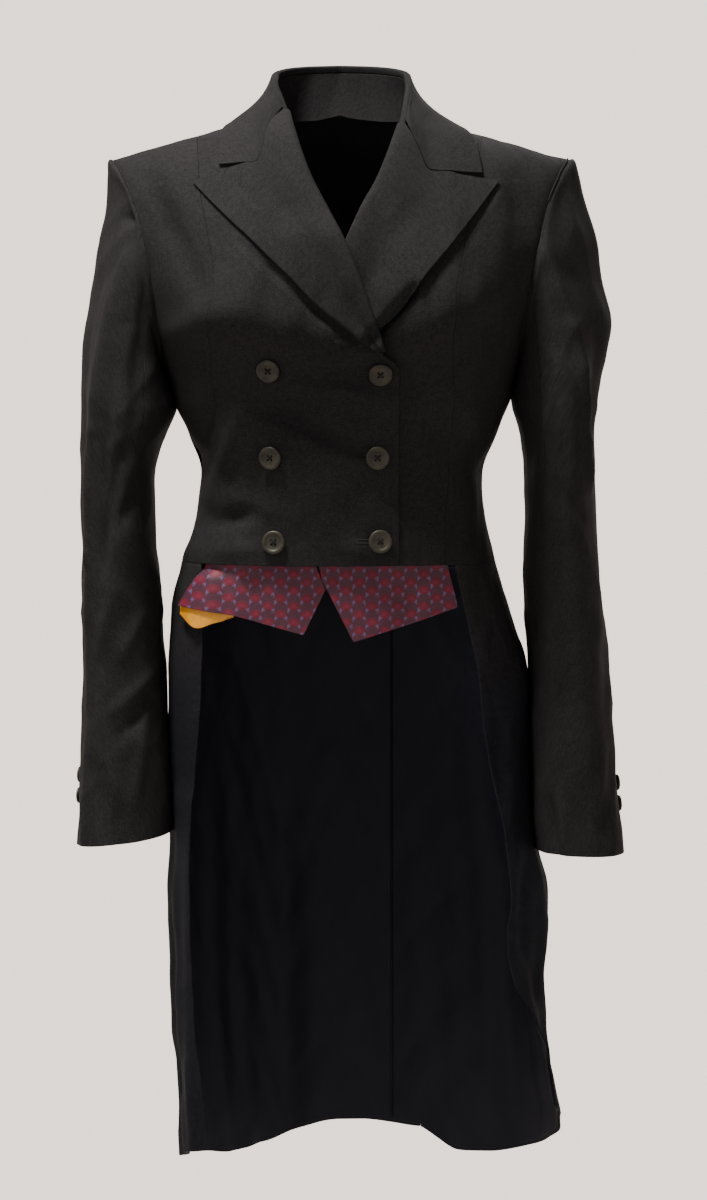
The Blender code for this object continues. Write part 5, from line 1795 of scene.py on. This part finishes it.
# %% Corners of the points
POINT_TOP_Z = -384
POINTS = {
    "right": (
        [
            Corner(-112, POINT_TOP_Z), Corner(-84, POINT_TOP_Z), Corner(-45, POINT_TOP_Z),
            Corner(-24, POINT_TOP_Z),
        ],
        [Corner(-134, -431), Corner(-92, -437), Corner(-31, -453), Corner(-12, -414)],
    ),
    "left": (
        [Corner(-20, POINT_TOP_Z), Corner(12, POINT_TOP_Z), Corner(57, POINT_TOP_Z), Corner(92, POINT_TOP_Z)],
        [Corner(-15, -406), Corner(12, -459), Corner(57, -445), Corner(103, -430)],
    ),
}
BACKING_SHOWS = [7, 16, 9, 2]
POINT_DROP, POINT_FLARE, BACKING_DROP = 3.2, 5.6, 2.6
print("the points hang to, mm:", min(c.z for _, low_row in POINTS.values() for c in low_row))

# %% [markdown]
# The points hang inside the front above its hem, and below it they come forward and flare a little.
# Straight lines join their corners. Below the right one, its backing shows as a narrow band.


# %% Shapes of the points
def point_out(x, z):
    """How far a point of the silk stands off the body's surface."""
    corner = ease((-72 - x) / 26)
    lean = 5.0 * corner * np.clip((WAIST_Z - 4 - z) / 40, 0, 1)
    return -POINT_DROP + POINT_FLARE * ease((WAIST_Z - 1 - z) / 13) * ease((-98 - x) / 14) + lean


def piecewise(corners, t):
    """Places along straight lines between corners, one corner for each whole number of t."""
    points = np.array([tuple(c) for c in corners], float)
    at = np.arange(len(points))
    return np.stack([np.interp(t, at, points[:, k]) for k in range(2)], -1)


def point_grid(side_name, drop=0.0, columns_to=3.0, below=None):
    """One waistcoat point, or a part of it further in, with a band below it if asked."""
    top, low = POINTS[side_name]
    t = np.linspace(0, columns_to, int(22 * columns_to))
    v = np.linspace(0, 1, 26)[:, None, None]
    flat = piecewise(top, t)[None] * (1 - v) + piecewise(low, t)[None] * v
    if below is not None:
        more = np.linspace(0, 1, 12)[1:, None] * below(t)[None]
        tongue = np.repeat(flat[-1:], len(more), 0)
        tongue[..., 1] -= more
        flat = np.concatenate((flat, tongue))
        v = np.append(v[:, 0, 0], np.ones(len(more)))[:, None, None]
    x, z = flat[..., 0], flat[..., 1]
    swell = 0.9 * np.sin(x / 11.0) * ease((WAIST_Z - z) / 30)
    out = point_out(x, np.maximum(z, -437)) - drop * (0.6 + 0.4 * v[..., 0]) + swell
    return front(x, z, out), flat


print("the points' drop inside the hem, mm:", POINT_DROP)

# %% [markdown]
# The silk's figure follows the flat patch, so its UV map is that patch itself. The backing is cut in
# satin.

# %% Cutting the points
for side_name in SIDES:
    grid, flat = point_grid(side_name)
    name = "waistcoat_point_" + side_name
    cloth(name, grid, finish=SILK, lining=SATIN, wall=THIN, uv=flat, gap=0.0)
shows = Curve([0, 1 / 3, 2 / 3, 1], BACKING_SHOWS)
grid, _ = point_grid("right", BACKING_DROP, 1.0, shows)
cloth("waistcoat_backing", grid, finish=SATIN, wall=THIN, gap=0.0)

# %% [markdown]
# ## Buttons
# The buttons are turned discs with a raised rim, a dished face and four holes, sewn on with crossed
# thread. One button is modelled with care. Geometry Nodes then set a copy on each of the marked points,
# turned to lie flat on the cloth.

# %% Sizes and places of the buttons
Button = namedtuple("Button", "name x z")
BUTTONS = [
    Button("button_top_right", -59, -226),
    Button("button_top_left", 34.5, -229),
    Button("button_middle_right", -57, -301),
    Button("button_middle_left", 32, -301),
    Button("button_lower_right", -55, -374),
    Button("button_lower_left", 34, -373),
]
BUTTON_RADIUS, BUTTON_HEIGHT = 10.0, 3.4
CUFF_BUTTON_RADIUS, CUFF_BUTTON_HEIGHT = 7.0, 3.0
CUFF_BUTTONS = [40.0, 58.0]
CUFF_BUTTON_TURN = 16.0
BUTTON_STAND = 0.5
HOLE, HOLE_PITCH = 0.95, 2.5
print("front buttons:", len(BUTTONS), "of", 2 * BUTTON_RADIUS, "mm")

# %% [markdown]
# A lathe turns a button from a profile, and here `spin` does the same: it sweeps the profile once round
# the axis. The holes are drilled with a Boolean modifier, which takes four rods away from the disc.


# %% A turned button
def as_object(name, shape):
    """A scene object made of a finished bmesh."""
    mesh = bpy.data.meshes.new(name)
    shape.to_mesh(mesh)
    shape.free()
    thing = bpy.data.objects.new(name, mesh)
    bpy.context.scene.collection.objects.link(thing)
    return thing


def turned_disc(name, radius, height):
    """A dished disc with a raised rim, which stands on z = 0."""
    profile = [
        (0, height * 0.66), (radius * 0.30, height * 0.66), (radius * 0.58, height * 0.70),
        (radius * 0.68, height * 0.80), (radius * 0.75, height * 0.97), (radius * 0.82, height),
        (radius * 0.91, height * 0.98), (radius * 0.97, height * 0.86), (radius, height * 0.62),
        (radius * 0.96, height * 0.36), (radius * 0.80, height * 0.10), (radius * 0.5, 0), (0, 0),
    ]
    shape = bmesh.new()
    corners = [shape.verts.new((x * MM, 0, z * MM)) for x, z in profile]
    edges = [shape.edges.new(pair) for pair in zip(corners, corners[1:])]
    bmesh.ops.spin(
        shape, geom=corners + edges, axis=(0, 0, 1), cent=(0, 0, 0), steps=56, angle=math.tau, use_merge=True,
    )
    bmesh.ops.remove_doubles(shape, verts=shape.verts, dist=0.00001)
    bmesh.ops.recalc_face_normals(shape, faces=shape.faces)
    return as_object(name, shape)


def four_rods(name, radius, height):
    """The drill for the four holes."""
    shape = bmesh.new()
    pitch = HOLE_PITCH * radius / BUTTON_RADIUS
    size = HOLE * radius / BUTTON_RADIUS * MM
    for i in range(4):
        a = math.radians(45 + 90 * i)
        at = Vector((math.cos(a) * pitch, math.sin(a) * pitch, height / 2)) * MM
        bmesh.ops.create_cone(
            shape, cap_ends=True, segments=14, radius1=size, radius2=size, depth=3 * height * MM,
            matrix=Matrix.Translation(at),
        )
    return as_object(name, shape)


def turned_button(name, radius, height):
    """A turned button with four holes."""
    disc = turned_disc(name, radius, height)
    rods = four_rods(name + "_drill", radius, height)
    holes = disc.modifiers.new("holes", "BOOLEAN")
    holes.operation = "DIFFERENCE"
    holes.object = rods
    bpy.context.view_layer.update()
    drilled = bpy.data.meshes.new_from_object(disc.evaluated_get(bpy.context.evaluated_depsgraph_get()))
    bpy.data.objects.remove(rods)
    disc.modifiers.clear()
    disc.data = drilled
    disc.data.shade_smooth()
    disc.data.set_sharp_from_angle(angle=math.radians(38))
    return disc


print("holes of a front button, mm:", 2 * HOLE)

# %% [markdown]
# The thread crosses the dish in two bars, each of two strands, and dives into a hole at each end. A
# strand is a tube along a flat arch.


# %% A cross of thread
THREAD_RADIUS, STRAND_SIDE, UPPER_BAR = 0.34, 0.34, 0.32


def tube(shape, points, radius, sides=8):
    """Adds a closed round tube along points."""
    rings = []
    for i, p in enumerate(points):
        ahead = points[min(i + 1, len(points) - 1)] - points[max(i - 1, 0)]
        turn = ahead.to_track_quat("Z", "Y")
        ring = []
        for k in range(sides):
            a = math.tau * k / sides
            ring.append(shape.verts.new(p + turn @ Vector((math.cos(a), math.sin(a), 0)) * radius))
        rings.append(ring)
    for low, high in zip(rings, rings[1:]):
        for k in range(sides):
            shape.faces.new((low[k], low[(k + 1) % sides], high[(k + 1) % sides], high[k]))
    shape.faces.new(rings[0][::-1])
    shape.faces.new(rings[-1])


def thread_cross(name, radius, height):
    """Two bars of thread that cross between the four holes."""
    shape = bmesh.new()
    reach = HOLE_PITCH * radius / BUTTON_RADIUS
    for bar, lift in ((45, 0.0), (135, UPPER_BAR)):
        for beside in (-STRAND_SIDE, STRAND_SIDE):
            a = math.radians(bar)
            points = []
            for k in range(9):
                t = -1 + 2 * k / 8
                arch = (0.55 + lift) * (1 - t**4) - 1.1 * (t**8)
                at = Vector((math.cos(a) * t * reach, math.sin(a) * t * reach, height * 0.66 + arch))
                side = Vector((-math.sin(a), math.cos(a), 0)) * beside * (radius / BUTTON_RADIUS)
                points.append((at + side) * MM)
            tube(shape, points, THREAD_RADIUS * radius / BUTTON_RADIUS * MM)
    cross = as_object(name, shape)
    cross.data.shade_smooth()
    return cross


print("thread, mm thick:", 2 * THREAD_RADIUS)

# %% [markdown]
# The node tree below takes marked points, turns a copy of one object at each, makes the copies real and
# gives them their material. The same tree serves the buttons and their thread.


# %% Copies on marked points, with Geometry Nodes
def copies_tree(name, source, material):
    """A tree that copies one object onto points."""
    tree = bpy.data.node_groups.new(name, "GeometryNodeTree")
    tree.interface.new_socket("Geometry", in_out="INPUT", socket_type="NodeSocketGeometry")
    size = tree.interface.new_socket("Size", in_out="INPUT", socket_type="NodeSocketFloat")
    size.default_value = 1.0
    tree.interface.new_socket("Geometry", in_out="OUTPUT", socket_type="NodeSocketGeometry")
    nodes, links = tree.nodes, tree.links
    given, result = nodes.new("NodeGroupInput"), nodes.new("NodeGroupOutput")
    info = nodes.new("GeometryNodeObjectInfo")
    info.inputs["Object"].default_value = source
    info.inputs["As Instance"].default_value = True
    turn = nodes.new("GeometryNodeInputNamedAttribute")
    turn.data_type = "FLOAT_VECTOR"
    turn.inputs["Name"].default_value = "turn"
    spread = nodes.new("GeometryNodeInstanceOnPoints")
    real = nodes.new("GeometryNodeRealizeInstances")
    paint = nodes.new("GeometryNodeSetMaterial")
    paint.inputs["Material"].default_value = material
    links.new(given.outputs["Geometry"], spread.inputs["Points"])
    links.new(info.outputs["Geometry"], spread.inputs["Instance"])
    links.new(turn.outputs["Attribute"], spread.inputs["Rotation"])
    links.new(given.outputs["Size"], spread.inputs["Scale"])
    links.new(spread.outputs["Instances"], real.inputs["Geometry"])
    links.new(real.outputs["Geometry"], paint.inputs["Geometry"])
    links.new(paint.outputs["Geometry"], result.inputs["Geometry"])
    return tree


def set_copies(name, source, material, marks):
    """One plain mesh of copies. A mark is a place in millimetres and the turn of its copy."""
    mesh = bpy.data.meshes.new(name + "_marks")
    mesh.from_pydata([tuple(at * MM) for at, _ in marks], [], [])
    turn = mesh.attributes.new("turn", "FLOAT_VECTOR", "POINT")
    turn.data.foreach_set("vector", [value for _, angles in marks for value in angles])
    holder = bpy.data.objects.new(name + "_marks", mesh)
    bpy.context.scene.collection.objects.link(holder)
    modifier = holder.modifiers.new("copies", "NODES")
    modifier.node_group = copies_tree(name, source, material)
    bpy.context.view_layer.update()
    result = bpy.data.meshes.new_from_object(holder.evaluated_get(bpy.context.evaluated_depsgraph_get()))
    holder.modifiers.remove(modifier)
    bpy.data.objects.remove(holder)
    result.name = name
    print(f"{name}: {len(marks)} copies, {len(result.polygons)} faces")
    return result


# %% [markdown]
# A button lies flat on creased cloth. So its mark looks at the cloth on a ring of its own radius: the
# ring's two crossing diameters give the way it faces, and its highest point how far it stands off.

# %% Where the buttons sit
CUFF_STAND = 0.8
RIM = np.linspace(0, math.tau, 13)[:-1]


def facing(ring):
    """The way a ring of twelve points faces."""
    return unit(np.cross(ring[0] - ring[6], ring[3] - ring[9]))


def laid(looks, along=None):
    """The turn that points a copy's Z where it looks, and its X along a line of the cloth."""
    looks = Vector(looks).normalized()
    x = Vector((1.0, 0.0, 0.0)) if along is None else Vector(along)
    x = (x - looks * x.dot(looks)).normalized()
    return Matrix((x, looks.cross(x), looks)).transposed().to_euler()


def front_marks():
    """Marks for the six front buttons."""
    marks = []
    for b in BUTTONS:
        x, z = b.x + BUTTON_RADIUS * np.cos(RIM), b.z + BUTTON_RADIUS * np.sin(RIM)
        ring = front(x, z, lift_at(x, z))
        looks = facing(ring)
        at = front(b.x, b.z, lift_at(b.x, b.z))
        above = max(0.0, float(((ring - at) @ looks).max()))
        marks.append((Vector(at + looks * (above + BUTTON_STAND)), laid(looks)))
    return marks


def cuff_marks():
    """Marks for the cuff buttons, beside the back seam of each sleeve."""
    marks = []
    for side_name in SIDES:
        for above in CUFF_BUTTONS:
            z, turn = SLEEVES[side_name][-1].z + above, CUFF_BUTTON_TURN
            at = ring_points(side_name, z, turn)
            around = ring_points(side_name, z, turn + 5) - ring_points(side_name, z, turn - 5)
            up = ring_points(side_name, z + 8, turn) - ring_points(side_name, z - 8, turn)
            looks = unit(np.cross(around, up))
            looks = -looks if looks[0] * at[0] < 0 else looks
            marks.append((Vector(at + looks * (BUTTON_STAND + CUFF_STAND)), laid(looks)))
    return marks


print("marks:", len(front_marks()), "and", len(cuff_marks()))

# %% [markdown]
# One set of copies is made for the front and one for the cuffs, each with its thread. The pattern that
# was copied is thrown away.

# %% Setting the buttons
button_sets = (
    ("front_buttons", front_marks(), BUTTON_RADIUS, BUTTON_HEIGHT, [b.name for b in BUTTONS]),
    (
        "cuff_buttons", cuff_marks(), CUFF_BUTTON_RADIUS, CUFF_BUTTON_HEIGHT,
        [f"cuff_button_{side_name}_{n}" for side_name in SIDES for n in (1, 2)],
    ),
)
for name, marks, radius, height, nodes in button_sets:
    disc = turned_button(name + "_pattern", radius, height)
    cross = thread_cross(name + "_cross", radius, height)
    finish_piece(name, set_copies(name, disc, HORN, marks), nodes)
    finish_piece(name + "_thread", set_copies(name + "_thread", cross, THREAD, marks), nodes)
    for pattern in (disc, cross):
        bpy.data.objects.remove(pattern)

# %% [markdown]
# ## Buttonholes
# A tailor's buttonhole is a slit whose edges are closed with tight stitches, all at right angles to the
# slit. Each stitch is the same short thread, so one is modelled and copied along the oval round the slit.
# Only the end nearest the coat's middle shows beside each button.

# %% Marks for the stitches
HOLE_LENGTH, HOLE_HALF, HOLE_LEAD = 21.0, 0.75, 18.0  # the slit starts this far beside the button's middle
STITCH_PITCH, STITCH_LENGTH, STITCH_RADIUS = 0.62, 1.7, 0.30
SLIT_RADIUS, SLIT_SINK = 0.42, 0.12


def oval(button):
    """Places round a slit: the way along it and the way out of it, all on the front's cloth."""
    straight = np.arange(0, HOLE_LENGTH, STITCH_PITCH)
    left = button.x - HOLE_LEAD
    spots = [(left + x, button.z + side * HOLE_HALF, 0.0, side) for x in straight for side in (-1.0, 1.0)]
    for a in np.radians(np.arange(100, 261, 23)):
        c, s = math.cos(a), math.sin(a)
        spots.append((left + HOLE_HALF * c, button.z + HOLE_HALF * s, c, s))
    return spots


marks, slit = [], bmesh.new()
holed = [button for button in BUTTONS if button.name.endswith("left")]
for button in holed:
    for x, z, out_x, out_z in oval(button):
        x, z = x + out_x * STITCH_LENGTH * 0.4, z + out_z * STITCH_LENGTH * 0.4
        at = front(x, z, lift_at(x, z))
        ahead = front(x + out_x, z + out_z, lift_at(x + out_x, z + out_z))
        looks = front(x, z, lift_at(x, z) + 1) - at
        marks.append((Vector(at + looks * 0.12), laid(looks, ahead - at)))
    xs = np.linspace(button.x - HOLE_LEAD - 0.4, button.x + 2, 14)
    line = front(xs, np.full_like(xs, button.z), lift_at(xs, np.full_like(xs, button.z)) - SLIT_SINK)
    tube(slit, [Vector(p) * MM for p in line], SLIT_RADIUS * MM, 6)
print("stitches to each buttonhole:", len(marks) // len(holed))

# %% [markdown]
# A stitch is a short arch of thread whose ends bite into the cloth. The slit is a dark thin tube sunk in
# it.

# %% Stitches and slits
stitch_shape = bmesh.new()
arch = [
    Vector((t * STITCH_LENGTH / 2, 0, 0.18 * (1 - t * t) - 0.3 * t**6)) * MM for t in (-1, -0.6, 0, 0.6, 1)
]
tube(stitch_shape, arch, STITCH_RADIUS * MM, 5)
stitch = as_object("stitch", stitch_shape)
stitch.data.shade_smooth()
finish_piece("buttonhole_stitches", set_copies("buttonhole_stitches", stitch, BUTTONHOLE, marks), [])
bpy.data.objects.remove(stitch)
slit_mesh = bpy.data.meshes.new("buttonhole_slits")
slit.to_mesh(slit_mesh)
slit.free()
slit_mesh.materials.append(THREAD)
finish_piece("buttonhole_slits", slit_mesh, [])

# %% [markdown]
# ## The end
